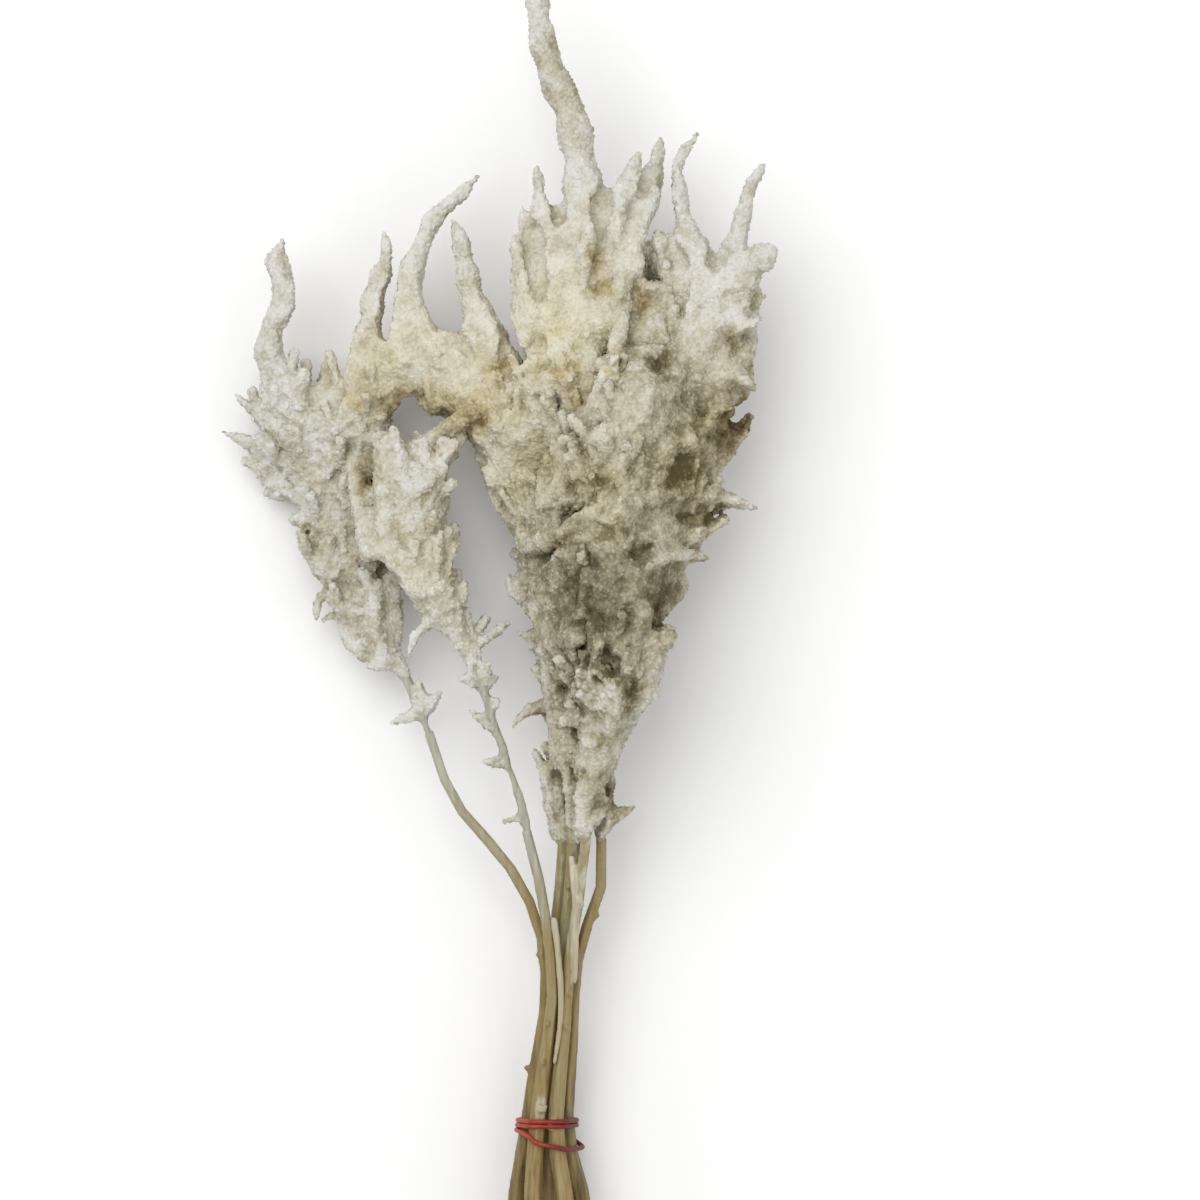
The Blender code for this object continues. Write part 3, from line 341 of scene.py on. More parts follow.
# Plump limbs under the crust, that close what is open between the crowded spikes
setLimbs = [
    (((35, 365), (40, 390), (44, 415)), 6.5, 5.5, 0),
    (((46, 380), (48, 405), (48, 430)), 6.5, 5, 0),
    (((36, 410), (41, 432.5), (45, 454)), 5.5, 4, -3),
    (((-15, 340), (-19, 365), (-22, 390)), 6.5, 5.5, 0),
    (((-7.5, 300), (-12.5, 325), (-16.5, 350)), 6.5, 6, 0),
    (((0, 255), (-4.5, 285), (-9, 310)), 6, 6, 0),
    (((42.5, 300), (45, 325), (47.5, 350)), 6.5, 5.5, 0),
    (((46, 340), (48, 365), (49.5, 385)), 6.5, 6, 0),
    (((1, 217.5), (-2, 245), (-5, 275)), 5.5, 6, 0),
    (((24, 217.5), (28.5, 245), (34, 275)), 5.5, 6, 0),
    (((29, 247.5), (36, 275), (42.5, 300)), 5.5, 6.5, 0),
    (((7.5, 400), (0, 425), (-7.5, 450)), 6, 4.5, -1),
    (((15, 400), (15, 430), (15, 460)), 6, 5, -1),
    (((25, 400), (29, 430), (34, 460)), 6, 4.5, -2),
    (((65, 340), (71, 370), (77, 400)), 7, 6.5, -1),
    (((77, 385), (82, 415), (87, 440)), 6.5, 6, -1),
    (((-94, 320), (-100, 350), (-104, 375)), 6, 6, 0),
    (((-82.5, 320), (-86, 350), (-88, 375)), 5, 5, 0),
    (((-100, 375), (-107.5, 395), (-112.5, 410)), 6, 4.5, 0),
    (((-115, 365), (-127.5, 385), (-137.5, 397.5)), 6, 4.5, 0),
    (((-92.5, 280), (-99, 295), (-104, 307.5)), 5, 4.5, 0),
    (((-94, 424), (-84, 426), (-74, 427)), 4.5, 4.5, 0),
    (((-96, 414), (-84, 417), (-72, 419)), 6, 6, 0),
    (((-96, 402), (-85, 406), (-74, 410)), 6, 5.5, 0),
    (((-92, 391), (-86, 396), (-81, 401)), 4.5, 4, 0),
    (((-97.5, 380), (-87, 380), (-78, 376)), 5, 5, 0),
    (((-101, 365), (-90, 367.5), (-79, 366)), 6, 6, 0),
    (((-104, 350), (-92, 353), (-80, 354)), 6, 6, 0),
    (((-100, 336), (-90, 340), (-79, 342)), 5.5, 5.5, 0),
    (((-105, 324), (-94, 327.5), (-82.5, 330)), 5, 4.5, 0),
    (((-27.5, 402.5), (-12.5, 407.5), (2.5, 410)), 6.5, 6.5, 0),
    (((-27.5, 387.5), (-14, 391), (0, 395)), 6.5, 6.5, 0),
    (((-22.5, 372.5), (-10, 377), (1, 381)), 6.5, 6.5, 0),
    (((-22.5, 357.5), (-9, 361), (3, 365)), 6.5, 6.5, 0),
    (((-20, 342.5), (-7, 346), (5, 350)), 6.5, 6.5, 0),
    (((-17.5, 326), (-5, 330), (7, 334)), 6.5, 6.5, 0),
    (((-15, 310), (-2, 314), (9, 317.5)), 6, 6, 0),
    (((-12.5, 294), (-1, 298), (10, 301)), 6, 6, 0),
    (((-7.5, 275), (1, 280), (11, 283)), 6, 6, 0),
    (((-4, 255), (3, 260), (12, 264)), 5.5, 5.5, 0),
    (((-2, 235), (4, 240), (12, 244)), 5, 5, 0),
    (((-1, 215), (4, 220), (11, 224)), 4.5, 4.5, 0),
    (((36, 450), (46, 451), (57, 453)), 5, 5, 0),
    (((37, 439), (48, 440), (60, 442)), 6, 6, 0),
    (((38, 426), (49, 427.5), (62, 430)), 6.5, 6.5, 0),
    (((39, 413), (51, 415), (64, 417)), 6.5, 6.5, 0),
    (((40, 400), (52, 402), (65, 404)), 6.5, 6.5, 0),
    (((42, 386), (54, 388), (67, 391)), 6.5, 6.5, 0),
    (((43, 372), (55, 374), (68, 377)), 6.5, 6.5, 0),
    (((43, 358), (55, 360), (67, 362)), 6.5, 6.5, 0),
    (((42, 344), (53, 346), (65, 349)), 6.5, 6.5, 0),
    (((40, 330), (51, 331), (62, 334)), 6.5, 6, 0),
    (((38, 315), (48, 317), (57, 320)), 6, 5.5, 0),
    (((36, 300), (45, 302), (53, 305)), 5.5, 5, 0),
    (((40, 456), (48, 455), (57, 454)), 4.5, 4.5, 0),
    (((36.5, 445), (47, 445.5), (58.5, 447.5)), 6.5, 6.5, 0),
    (((37.5, 432.5), (48.5, 433.5), (61, 436)), 7, 7, 0),
    (((38.5, 419.5), (50, 421), (63, 423.5)), 7, 7, 0),
    (((39.5, 406.5), (51.5, 408.5), (64.5, 410.5)), 7, 7, 0),
    (((41, 393), (53, 395), (66, 397.5)), 7, 7, 0),
    (((42.5, 379), (54.5, 381), (67.5, 384)), 7, 7, 0),
    (((43, 365), (55, 367), (67.5, 369.5)), 7, 7, 0),
    (((42.5, 351), (54, 353), (66, 355.5)), 7, 7, 0),
    (((41, 337), (52, 338.5), (63.5, 341.5)), 7, 6.5, 0),
    (((39, 322.5), (49.5, 324), (59.5, 327)), 6.5, 6, 0),
    (((37, 307.5), (46.5, 309.5), (55, 312.5)), 6.5, 6, 0),
    (((-84, 369), (-70, 377), (-57, 384)), 6, 5, 0),
    (((-60, 383), (-50, 389), (-40, 397)), 5.5, 6, 0),
    (((-12.5, 300), (-5, 305), (5, 310)), 6.5, 6.5, 0),
    (((-10, 285), (-2, 289), (7, 293)), 6.5, 6, 0),
    (((-6, 266), (1, 270), (10, 274)), 6, 6, 0),
    (((-27.5, 380), (-15, 384), (-2, 387.5)), 6.5, 6.5, 0),
    (((45, 294), (51, 300), (56, 307)), 8.5, 7.5, 0),
    (((42.5, 272.5), (49, 277.5), (55, 281)), 6, 5.5, 3),
    (((-12.5, 367.5), (-11, 345), (-8, 322.5)), 10, 9, 0),
    (((-8.5, 330), (-5, 305), (0, 280)), 10, 8.5, 0),
    (((0, 287.5), (3.5, 260), (6, 232.5)), 8, 6, 0),
    (((-87, 380), (-87.5, 350), (-89, 322)), 7, 6, 0),
    (((29, 435), (40, 434), (54, 433)), 7, 7, 0),
    (((29, 428), (41, 427), (56, 427)), 7, 7, 0),
    (((38, 414), (42.5, 430), (48, 447.5)), 7.5, 6.5, 0),
    (((15, 414), (22.5, 417), (31, 420)), 5, 5, 0),
    (((14, 400), (21, 402), (29, 405)), 5, 5, 0),
    (((58, 390), (60, 415), (62, 440)), 7.5, 7, 0),
    (((9.8, 386), (18.8, 391), (27.8, 397)), 6, 6, 0),
    (((8.1, 373), (17.1, 378), (26.1, 384)), 6, 6, 0),
    (((6.4, 360), (15.4, 365), (24.4, 371)), 6, 6, 0),
    (((4.8, 347), (13.8, 352), (22.8, 358)), 6, 6, 0),
    (((3.1, 334), (12.1, 339), (21.1, 345)), 6, 6, 0),
    (((1.4, 321), (10.4, 326), (19.4, 332)), 6, 6, 0),
    (((-0.3, 308), (8.7, 313), (17.7, 319)), 6, 6, 0),
    (((-2, 295), (7, 300), (16, 306)), 6, 6, 0),
    (((-3.7, 282), (5.3, 287), (14.3, 293)), 6, 6, 0),
    (((-14, 318), (-4, 328), (4, 340)), 6, 6, 0),
    (((-12, 334), (-3, 342), (6, 352)), 6, 6, 0),
    (((-12, 302), (-3, 312), (5, 324)), 6, 6, 0),
    (((-10, 346), (-1, 354), (8, 364)), 6, 6, 0),
    (((-99, 350), (-97, 366), (-94, 384)), 7, 6, 0),
    (((-96, 378), (-91, 386), (-87, 396)), 5.5, 5, 0),
]

# Where the plant is painted darker or lighter, partly its own browning and paleness and partly painted shade in
# hollows and on the low middle, and where it kept its straw colour: place in plan, radius, how dark, how warm
stainsAndShade = [
    (50, 416, 8, 0.55, 0.6),
    (19, 469, 6, 0.3, 0.6),
    (21.5, 454, 5, 0.35, 0.7),
    (0, 435, 5, 0.15, 0.6),
    (3, 415, 6, 0.3, 0.9),
    (8.5, 400, 6, 0.15, 0.7),
    (40, 450, 6, 0.3, 0.8),
    (26, 412.5, 5, 0.3, 0.7),
    (88.5, 427.5, 8, 0.45, 0.3),
    (95, 450, 6, 0.4, 0.1),
    (82, 387, 20, 0.27, 0.25),
    (63, 363, 16, 0.25, 0.4),
    (70, 341, 15, 0.22, 0.3),
    (51, 303, 12, 0.5, 0.4),
    (40, 322, 6, 0.4, 0.5),
    (22, 358, 8, 0.35, 0.5),
    (26, 335, 7, 0.3, 0.5),
    (16, 290, 8, 0.35, 0.5),
    (0, 327.5, 6, 0.15, 0.6),
    (-102.5, 399, 7, 0.3, 1),
    (-97, 362.5, 10, 0.28, 0.6),
    (-82.5, 399, 8, 0.4, 0.7),
    (-64, 399, 12, 0.36, 0.5),
    (-44, 394, 11, 0.45, 0.7),
    (-31.5, 415, 7, 0.3, 1),
    (-129, 365, 10, 0.16, 0.1),
    (-124, 334, 9, 0.18, 0.1),
    (23, 267.5, 7, 0.4, 0.5),
    (36, 255, 7, 0.45, 0.5),
    (28, 202.5, 12, 0.6, 0.3),
    (9, 214, 7, 0.3, 0.3),
    (22, 231, 5, 0.4, 0.4),
    (54, 284, 8, 0.35, 0.2),
    (-94, 277.5, 6, 0.3, 0),
    (15, 500, 7, 0.15, 0.1),
    (-27.5, 327.5, 7, 0.1, 0.4),
    (20, 300, 40, 0.55, 0.15),
    (25, 355, 40, 0.16, 0.35),
    (70, 380, 35, 0.12, 0.3),
    (5, 230, 25, 0.1, 0.2),
    (-20, 365, 30, 0.05, 0.5),
    (0, 425, 35, -0.08, 0.44),
    (65, 450, 25, -0.06, 0.05),
    (-100, 420, 30, -0.02, 0.6),
    (-65, 435, 30, 0, 0.4),
    (-40, 400, 30, 0, 0.5),
    (-145, 375, 30, 0.02, -0.2),
    (-115, 320, 30, 0.06, 0.1),
    (-110, 290, 25, 0.08, -0.15),
    (-142.5, 445, 30, 0.04, -0.2),
    (-65, 320, 30, 0.04, 0.45),
    (0, 560, 35, 0.32, 0),
    (95, 495, 20, 0.04, -0.1),
    (5, 455, 48, 0.01, 0.44),
    (12, 190, 28, 0.09, 0.1),
    (88, 410, 26, 0.12, 0.2),
    (75, 455, 30, -0.04, 0.1),
]

# Scooped lobes on the right side, brown inside a pale rim, the brown painted partly as shade in the hollow and
# partly as the lobe's own colour: place in plan, half length and half width, the turn of the long side in
# degrees, and depth
scoops = [
    (88, 389, 20, 9, 52, 4.0),
    (60, 364, 13, 6, 45, 3.0),
    (71, 341, 14, 6, 12, 3.0),
]

# stalk: where the bare stalk runs, in plan, with its radius, how far up it stays bare, and whether it is
# golden as the bundle or grey
heads = {
    "head_left": {
        "stalk": ((-64, 228, 35), (-75, 255, 32), (-87, 277, 28)),
        "stalkRadius": 2.9,
        "golden": False,
        "bareTo": 262,
    },
    "head_inner_left": {
        "stalk": ((-15.5, 179, 43.5), (-17, 188, 44), (-29, 227, 46), (-37, 250, 47), (-45, 272, 48)),
        "stalkRadius": 2.9,
        "golden": False,
        "bareTo": 268,
    },
    "head_arch": {
        "stalk": ((1, 175, 37), (2, 200, 38), (3, 222, 38)),
        "stalkRadius": 3.3,
        "golden": True,
        "bareTo": 186,
    },
    "head_centre": {
        "stalk": ((6, 175, 45), (7.5, 200, 49), (9.5, 230, 52)),
        "stalkRadius": 3.4,
        "golden": True,
        "bareTo": 186,
    },
    "head_right": {
        "stalk": ((20.5, 175, 44), (20.5, 200, 47), (23, 230, 50)),
        "stalkRadius": 3.4,
        "golden": True,
        "bareTo": 186,
    },
    "head_front": {
        "stalk": ((12.5, 175, 53), (14, 198, 58), (15, 222, 64)),
        "stalkRadius": 3.6,
        "golden": True,
        "bareTo": 186,
    },
    "head_back": {
        "stalk": ((9.5, 175, 30), (13, 205, 30), (16, 230, 28)),
        "stalkRadius": 3.5,
        "golden": True,
        "bareTo": 186,
    },
}


def fingerModel():
    # a tapered finger of unit length and unit radius, with a blunt tip
    bpy.ops.object.select_all(action="DESELECT")
    bpy.ops.mesh.primitive_circle_add(vertices=7, radius=1.0, fill_type="NGON")
    finger = bpy.context.object
    bpy.ops.object.mode_set(mode="EDIT")
    bpy.ops.mesh.select_all(action="SELECT")
    for step in range(9):
        bpy.ops.mesh.extrude_region_move(TRANSFORM_OT_translate={"value": (0.0, 0.0, 0.1)})
    bpy.ops.mesh.extrude_region_move(TRANSFORM_OT_translate={"value": (0.0, 0.0, 0.07)})
    bpy.ops.transform.resize(value=(0.85, 0.85, 1.0))
    bpy.ops.mesh.extrude_region_move(TRANSFORM_OT_translate={"value": (0.0, 0.0, 0.03)})
    bpy.ops.transform.resize(value=(0.6, 0.6, 1.0))
    bpy.ops.mesh.select_all(action="SELECT")
    bpy.ops.mesh.normals_make_consistent(inside=False)
    bpy.ops.object.mode_set(mode="OBJECT")
    return finger


def budModel():
    # a blunt bud of unit length that leans as it grows
    bpy.ops.object.select_all(action="DESELECT")
    bpy.ops.mesh.primitive_circle_add(vertices=6, radius=0.85, fill_type="NGON")
    bud = bpy.context.object
    bpy.ops.object.mode_set(mode="EDIT")
    bpy.ops.mesh.select_all(action="SELECT")
    for rise, lean, swell in ((0.35, 0.05, 1.15), (0.35, 0.12, 0.95), (0.2, 0.1, 0.6)):
        bpy.ops.mesh.extrude_region_move(TRANSFORM_OT_translate={"value": (lean, 0.0, rise)})
        bpy.ops.transform.resize(value=(swell, swell, 1.0))
    bpy.ops.mesh.select_all(action="SELECT")
    bpy.ops.mesh.normals_make_consistent(inside=False)
    bpy.ops.object.mode_set(mode="OBJECT")
    return bud


def floretModel():
    # a low five-sided grain that comes to a point above and below, with its rim under the skin
    bpy.ops.object.select_all(action="DESELECT")
    bpy.ops.mesh.primitive_cone_add(vertices=5, radius1=1.0, depth=1.0, location=(0.0, 0.0, 0.1))
    floret = bpy.context.object
    bpy.ops.object.transform_apply(location=True)
    bpy.ops.object.mode_set(mode="EDIT")
    bpy.ops.mesh.select_mode(type="FACE")
    bpy.ops.mesh.select_all(action="DESELECT")
    bpy.ops.object.mode_set(mode="OBJECT")
    for face in floret.data.polygons:
        face.select = face.normal.z < -0.9
    bpy.ops.object.mode_set(mode="EDIT")
    bpy.ops.mesh.poke(offset=0.4)
    bpy.ops.mesh.select_all(action="SELECT")
    bpy.ops.mesh.normals_make_consistent(inside=False)
    bpy.ops.object.mode_set(mode="OBJECT")
    return floret


def onStalk(points, spec, margin=0.0):
    near = distanceToLine(points, inPlan(spec["stalk"])) < (spec["stalkRadius"] + margin) * 0.001
    return near & (points[:, 1] < origin[1] + spec["bareTo"] * 0.001)


def surfaceSamples(mesh, count, draw, extra=None):
    # points spread over the faces by area, with the faces' directions and what extra holds for each vertex
    mesh.calc_loop_triangles()
    triangles = np.empty(len(mesh.loop_triangles) * 3, dtype=np.int32)
    mesh.loop_triangles.foreach_get("vertices", triangles)
    triangles = triangles.reshape(-1, 3)
    corners = vertexArray(mesh)[triangles]
    area = np.linalg.norm(np.cross(corners[:, 1] - corners[:, 0], corners[:, 2] - corners[:, 0]), axis=1)
    chosen = draw.choice(len(area), size=count, p=area / area.sum())
    u, v = draw.uniform(size=(2, count))
    fold = u + v > 1.0
    u[fold], v[fold] = 1.0 - u[fold], 1.0 - v[fold]
    weights = np.stack((1.0 - u - v, u, v), axis=1)[:, :, None]
    points = (corners[chosen] * weights).sum(axis=1)
    outward = unitRows((normalArray(mesh)[triangles[chosen]] * weights).sum(axis=1))
    if extra is None:
        return points, outward
    return points, outward, (extra[triangles[chosen]] * weights[:, :, 0]).sum(axis=1)


def areaOf(mesh):
    areas = np.empty(len(mesh.polygons), dtype=np.float32)
    mesh.polygons.foreach_get("area", areas)
    return float(areas.sum())


def seatOf(x, y):
    # the head that is uppermost at a place, and its height there
    best = (None, -1.0)
    for node in heads:
        hit, place, _, _ = frame["nodes"][node].ray_cast(Vector((x, y, 0.4)), Vector((0.0, 0.0, -1.0)))
        if hit and place.z > best[1]:
            best = (node, place.z)
    return best


def crestOf(x, y):
    # the highest seat close by
    return max((seatOf(x + aside, y + up) for aside in (-0.004, 0.0, 0.004) for up in (-0.004, 0.0, 0.004)),
               key=lambda seat: seat[1])


def nearestSeat(x, y, search):
    node, height = search(x, y)
    if node is None:
        for name in heads:
            points = vertexArray(frame["nodes"][name].data)
            gap = np.hypot(points[:, 0] - x, points[:, 1] - y)
            index = gap.argmin()
            if node is None or gap[index] < height:
                node, height, level = name, gap[index], points[index, 2]
        return node, level
    return node, height


def softened(rows, rounds):
    for _ in range(rounds):
        inner = (rows[:-2] + rows[1:-1] + rows[2:]) / 3
        rows = np.concatenate((rows[:1], inner, rows[-1:]))
    return rows


def fingerPath(spec, sunk, samples=13):
    # the line of a listed finger: it lies on the heads below it and spans what is open,
    # and a limb grows from every head that it lies on, so that no crack shows between them
    points, root, tip, lift = spec
    plan = inPlan([(x, y, 0.0) for x, y in points])[:, :2]
    steps = np.concatenate(((0.0,), np.cumsum(np.linalg.norm(np.diff(plan, axis=0), axis=1))))
    share = np.linspace(0.0, 1.0, samples)
    line = np.stack([np.interp(share * steps[-1], steps, plan[:, k]) for k in (0, 1)], axis=1)
    line = softened(line, 4)
    limb = sunk > 1
    search = crestOf if limb else seatOf
    node, start = nearestSeat(*line[0], search)
    under, end = search(*line[-1])
    owners = [node]
    radius = (root + (tip - root) * share) * 0.001
    start -= max(0.5, sunk) * radius[0]
    finish = start if under is None else end - sunk * radius[-1]
    rise = start + (finish - start + lift * 0.001) * share
    for index, (x, y) in enumerate(line):
        seat, below = seatOf(x, y)
        rise[index] = max(rise[index], below - sunk * radius[index])
        if limb and seat and seat not in owners:
            owners.append(seat)
    rise = softened(rise, 5)
    return owners, np.column_stack((line, np.maximum(rise, radius + 0.002))), radius


def sweptFinger(model, path, radius):
    corners = vertexArray(model.data)
    share = np.linspace(0.0, 1.0, len(path))
    middle = np.stack([np.interp(corners[:, 2], share, path[:, k]) for k in range(3)], axis=1)
    heading = unitRows(np.gradient(path, axis=0))
    along = unitRows(np.stack([np.interp(corners[:, 2], share, heading[:, k]) for k in range(3)], axis=1))
    side = unitRows(np.cross(along, (0.0, 0.0, 1.0)))
    above = np.cross(side, along)
    reach = np.interp(corners[:, 2], share, radius)
    points = middle + (side * corners[:, :1] + above * corners[:, 1:2]) * reach[:, None]
    finger = bpy.data.objects.new("finger", model.data.copy())
    bpy.context.scene.collection.objects.link(finger)
    finger.data.vertices.foreach_set("co", points.astype(np.float32).ravel())
    return finger


def spreadOver(head, spec, field, scale, spacing, draw):
    # places for buds, on the crowded parts of a head
    points, outward = surfaceSamples(head.data, 16000, draw)
    chosen = evenlyPicked(points, spacing, draw)
    points, outward = points[chosen], outward[chosen]
    frilly = frillyShare(points - outward * 0.004, field, scale)
    kept = ~onStalk(points, spec, 0.6) & (points[:, 2] > 0.006) & (frilly > draw.uniform(0.1, 0.9, len(points)))
    return points[kept], outward[kept]


def addBuds(head, spec, field, scale, models, draw):
    grown = []
    for model, spacing, length, width, forwards in (
        (models["finger"], "fingerSpacing", "fingerLength", "fingerWidth", 2.3),
        (models["bud"], "budSpacing", "budLength", "budWidth", 0.6),
    ):
        points, outward = spreadOver(head, spec, field, scale, crust[spacing], draw)
        forward = np.array((0.0, 1.0, 0.0)) + draw.normal(scale=0.25, size=points.shape)
        up = unitRows(outward + forwards * forward)
        thick = draw.uniform(*crust[width], size=len(points))
        sizes = np.stack((thick, thick, draw.uniform(*crust[length], size=len(points))), axis=1)
        if len(points):
            grown.append(copiesOf(model, "buds", points - outward * 0.0015, axesAbout(up, draw), sizes))
    return joined([head] + grown, head.name)


def markGroup(head, name, weights):
    group = head.vertex_groups.new(name=name)
    for level in range(1, 11):
        picked = np.nonzero(np.round(weights * 10) == level)[0]
        group.add(picked.tolist(), level / 10, "REPLACE")


def crowdedShare(points, field, scale):
    full = (crowdAt(field, points) - scale[0]) / (scale[1] - scale[0])
    return np.clip((full - crust["dense"]) / 0.15 + 0.5, 0.0, 1.0)


def frillyShare(points, field, scale):
    # the frills stay low on the bunch, and the upper spikes are smooth
    low, high = crust["smoothAbove"]
    up = (points[:, 1] - origin[1]) * 1000
    bottom, middle = crust["smoothBelow"]
    zone = np.clip((high - up) / (high - low), 0.0, 1.0) * np.clip((up - bottom) / (middle - bottom), 0.15, 1.0)
    return crowdedShare(points, field, scale) * zone


def dropScraps(piece):
    # keeps only what hangs together with the lower end of the stalk
    lowest = int(vertexArray(piece.data)[:, 1].argmin())
    pick(piece)
    bpy.ops.object.mode_set(mode="EDIT")
    bpy.ops.mesh.select_mode(type="VERT")
    bpy.ops.mesh.select_all(action="DESELECT")
    bpy.ops.object.mode_set(mode="OBJECT")
    piece.data.vertices[lowest].select = True
    bpy.ops.object.mode_set(mode="EDIT")
    bpy.ops.mesh.select_linked()
    bpy.ops.mesh.select_all(action="INVERT")
    bpy.ops.mesh.delete(type="VERT")
    bpy.ops.object.mode_set(mode="OBJECT")


def makeSkin(node, spec, fingers, field, scale, models, draw):
    head = copyOfNode(node, node.replace("head", "florets"))
    if fingers:
        head = joined([head] + fingers, head.name)
    finished(head, "REMESH", mode="VOXEL", voxel_size=crust["firstVoxel"])
    for step in (1, -1):
        # narrow gaps among the crowded fingers close up
        points = vertexArray(head.data)
        markGroup(head, "crowded", crowdedShare(points, field, scale) * ~onStalk(points, spec, 0.4))
        finished(head, "DISPLACE", strength=step * crust["fill"], mid_level=0.0, vertex_group="crowded")
        if step == 1:
            finished(head, "REMESH", mode="VOXEL", voxel_size=crust["firstVoxel"])
            finished(head, "SMOOTH", factor=0.5, iterations=2)
        head.vertex_groups.clear()
    head = addBuds(head, spec, field, scale, models, draw)
    finished(head, "REMESH", mode="VOXEL", voxel_size=crust["voxel"])
    dropScraps(head)
    finished(head, "SMOOTH", factor=0.5, iterations=crust["smoothing"])
    points, outward = vertexArray(head.data), normalArray(head.data)
    deep = crust["hollow"] * stainsAndShadeAt(points, crust["hollowWidth"])[0] + scoopedAt(points)[0]
    points -= outward * (deep * np.clip(2 * outward[:, 2], 0.0, 1.0))[:, None]
    head.data.vertices.foreach_set("co", points.astype(np.float32).ravel())
    head.data.update()
    before, outward = vertexArray(head.data), normalArray(head.data)
    crusted = (~onStalk(before, spec, 0.4)).astype(float)
    markGroup(head, "crusted", crusted)
    markGroup(head, "frilly", crusted * (0.2 + 0.8 * frillyShare(before, field, scale)))
    for kind, size, height, group in crust["swells"]:
        texture = bpy.data.textures.new("swells", kind)
        texture.noise_scale = size
        finished(head, "DISPLACE", texture=texture, texture_coords="LOCAL", strength=height,
                 mid_level=0.5, vertex_group=group)
    height = ((vertexArray(head.data) - before) * outward).sum(axis=1)
    setNumbers(head.data, "height", height)
    finished(head, "DISPLACE", strength=-crust["shrink"], mid_level=0.0, vertex_group="crusted")
    head.vertex_groups.clear()
    return head


crowd = {"cell": 0.003, "wide": 0.009, "near": 0.0035}


def crowding(points, blur):
    # how much plant is near each place, as a grid that is softened along each axis
    low = points.min(axis=0) - 4 * blur
    shape = np.ceil((points.max(axis=0) + 4 * blur - low) / crowd["cell"]).astype(int) + 1
    grid = np.zeros(shape)
    np.add.at(grid, tuple(((points - low) / crowd["cell"]).astype(int).T), 1.0)
    reach = int(3 * blur / crowd["cell"])
    kernel = np.exp(-0.5 * (np.arange(-reach, reach + 1) * crowd["cell"] / blur) ** 2)
    kernel /= kernel.sum()
    for axis in range(3):
        grid = np.apply_along_axis(np.convolve, axis, grid, kernel, mode="same")
    return low, grid


def crowdAt(field, places):
    low, grid = field
    spot = np.clip((places - low) / crowd["cell"] - 0.5, 0, np.array(grid.shape) - 1.001)
    base = spot.astype(int)
    part = spot - base
    total = np.zeros(len(places))
    for corner in np.ndindex(2, 2, 2):
        weight = np.prod(np.where(corner, part, 1.0 - part), axis=1)
        total += weight * grid[tuple((base + corner).T)]
    return total


def opennessOf(fields, points, outward):
    # 1 on tips and ridges, 0 in hollows, from what is near and from what is further off; it paints the hollows
    # darker as shade
    total = np.zeros(len(points))
    for (field, scale, out), share in zip(fields, (0.5, 0.5)):
        here = crowdAt(field, points + outward * out)
        total += share * np.clip((scale[1] - here) / (scale[1] - scale[0]), 0.0, 1.0)
    return total


def sampleFields(skins):
    points = np.concatenate([vertexArray(skin.data) for skin in skins])
    outward = np.concatenate([normalArray(skin.data) for skin in skins])
    fields = []
    for blur, out in ((crowd["wide"], 0.006), (crowd["near"], 0.0028)):
        field = crowding(points, blur)
        here = crowdAt(field, points[::20] + outward[::20] * out)
        fields.append((field, np.percentile(here, (5, 95)), out))
    return fields


def numbersOf(mesh, name):
    values = np.empty(len(mesh.vertices), dtype=np.float32)
    mesh.attributes[name].data.foreach_get("value", values)
    return values.astype(float)


def stainsAndShadeAt(points, widest=1000):
    dark, warm = np.zeros(len(points)), np.zeros(len(points))
    flat = (points - origin)[:, :2] * 1000
    across, along = flat[:, 0], flat[:, 1]
    flat = flat + np.stack((2.2 * np.sin(0.37 * along + 0.21 * across) + 1.4 * np.sin(0.9 * along),
                            2.2 * np.sin(0.33 * across - 0.24 * along) + 1.4 * np.sin(0.8 * across)), axis=1)
    for x, y, radius, depth, warmth in stainsAndShade:
        if radius > widest:
            continue
        near = np.exp(-((flat[:, 0] - x) ** 2 + (flat[:, 1] - y) ** 2) / (2 * (0.6 * radius) ** 2))
        dark += depth * near
        warm += warmth * near
    if widest > 100:
        # the scoops' brown, partly painted shade in their hollows
        brownAndShade = scoopedAt(points)[1]
        dark += 0.36 * brownAndShade
        warm += 0.4 * brownAndShade
    return dark, np.clip(warm, 0.0, 1.0)


def scoopedAt(points):
    # depth in metres, and how much of the scoop's brown, partly painted shade, shows
    deep, brownAndShade = np.zeros(len(points)), np.zeros(len(points))
    flat = (points - origin)[:, :2] * 1000
    flat = flat + np.stack((1.6 * np.sin(0.5 * flat[:, 1]) + 0.9 * np.sin(1.3 * flat[:, 0]),
                            1.6 * np.sin(0.6 * flat[:, 0]) + 0.9 * np.sin(1.1 * flat[:, 1])), axis=1)
    for x, y, length, width, turn, depth in scoops:
        across, along = flat[:, 0] - x, flat[:, 1] - y
        turn = math.radians(turn)
        far = ((across * math.cos(turn) + along * math.sin(turn)) / length) ** 2
        far += ((along * math.cos(turn) - across * math.sin(turn)) / width) ** 2
        inside = np.clip(1.0 - far, 0.0, 1.0)
        deep += 0.001 * depth * inside
        brownAndShade += np.clip(1.5 * inside, 0.0, 1.0)
    return deep, brownAndShade


# the florets' tone, with light and shade painted in: hollows and low places darker as painted shade, and the
# side that faces the key light lighter as painted light
def shadedToneOf(fields, heightScale, points, outward, height):
    low, high = heightScale
    raised = np.clip((height - low) / (high - low), 0.0, 1.0)
    litShare = outward @ np.array(crust["paintedLitSide"])
    return 0.50 * opennessOf(fields, points, outward) + 0.38 * raised + 0.12 * litShare


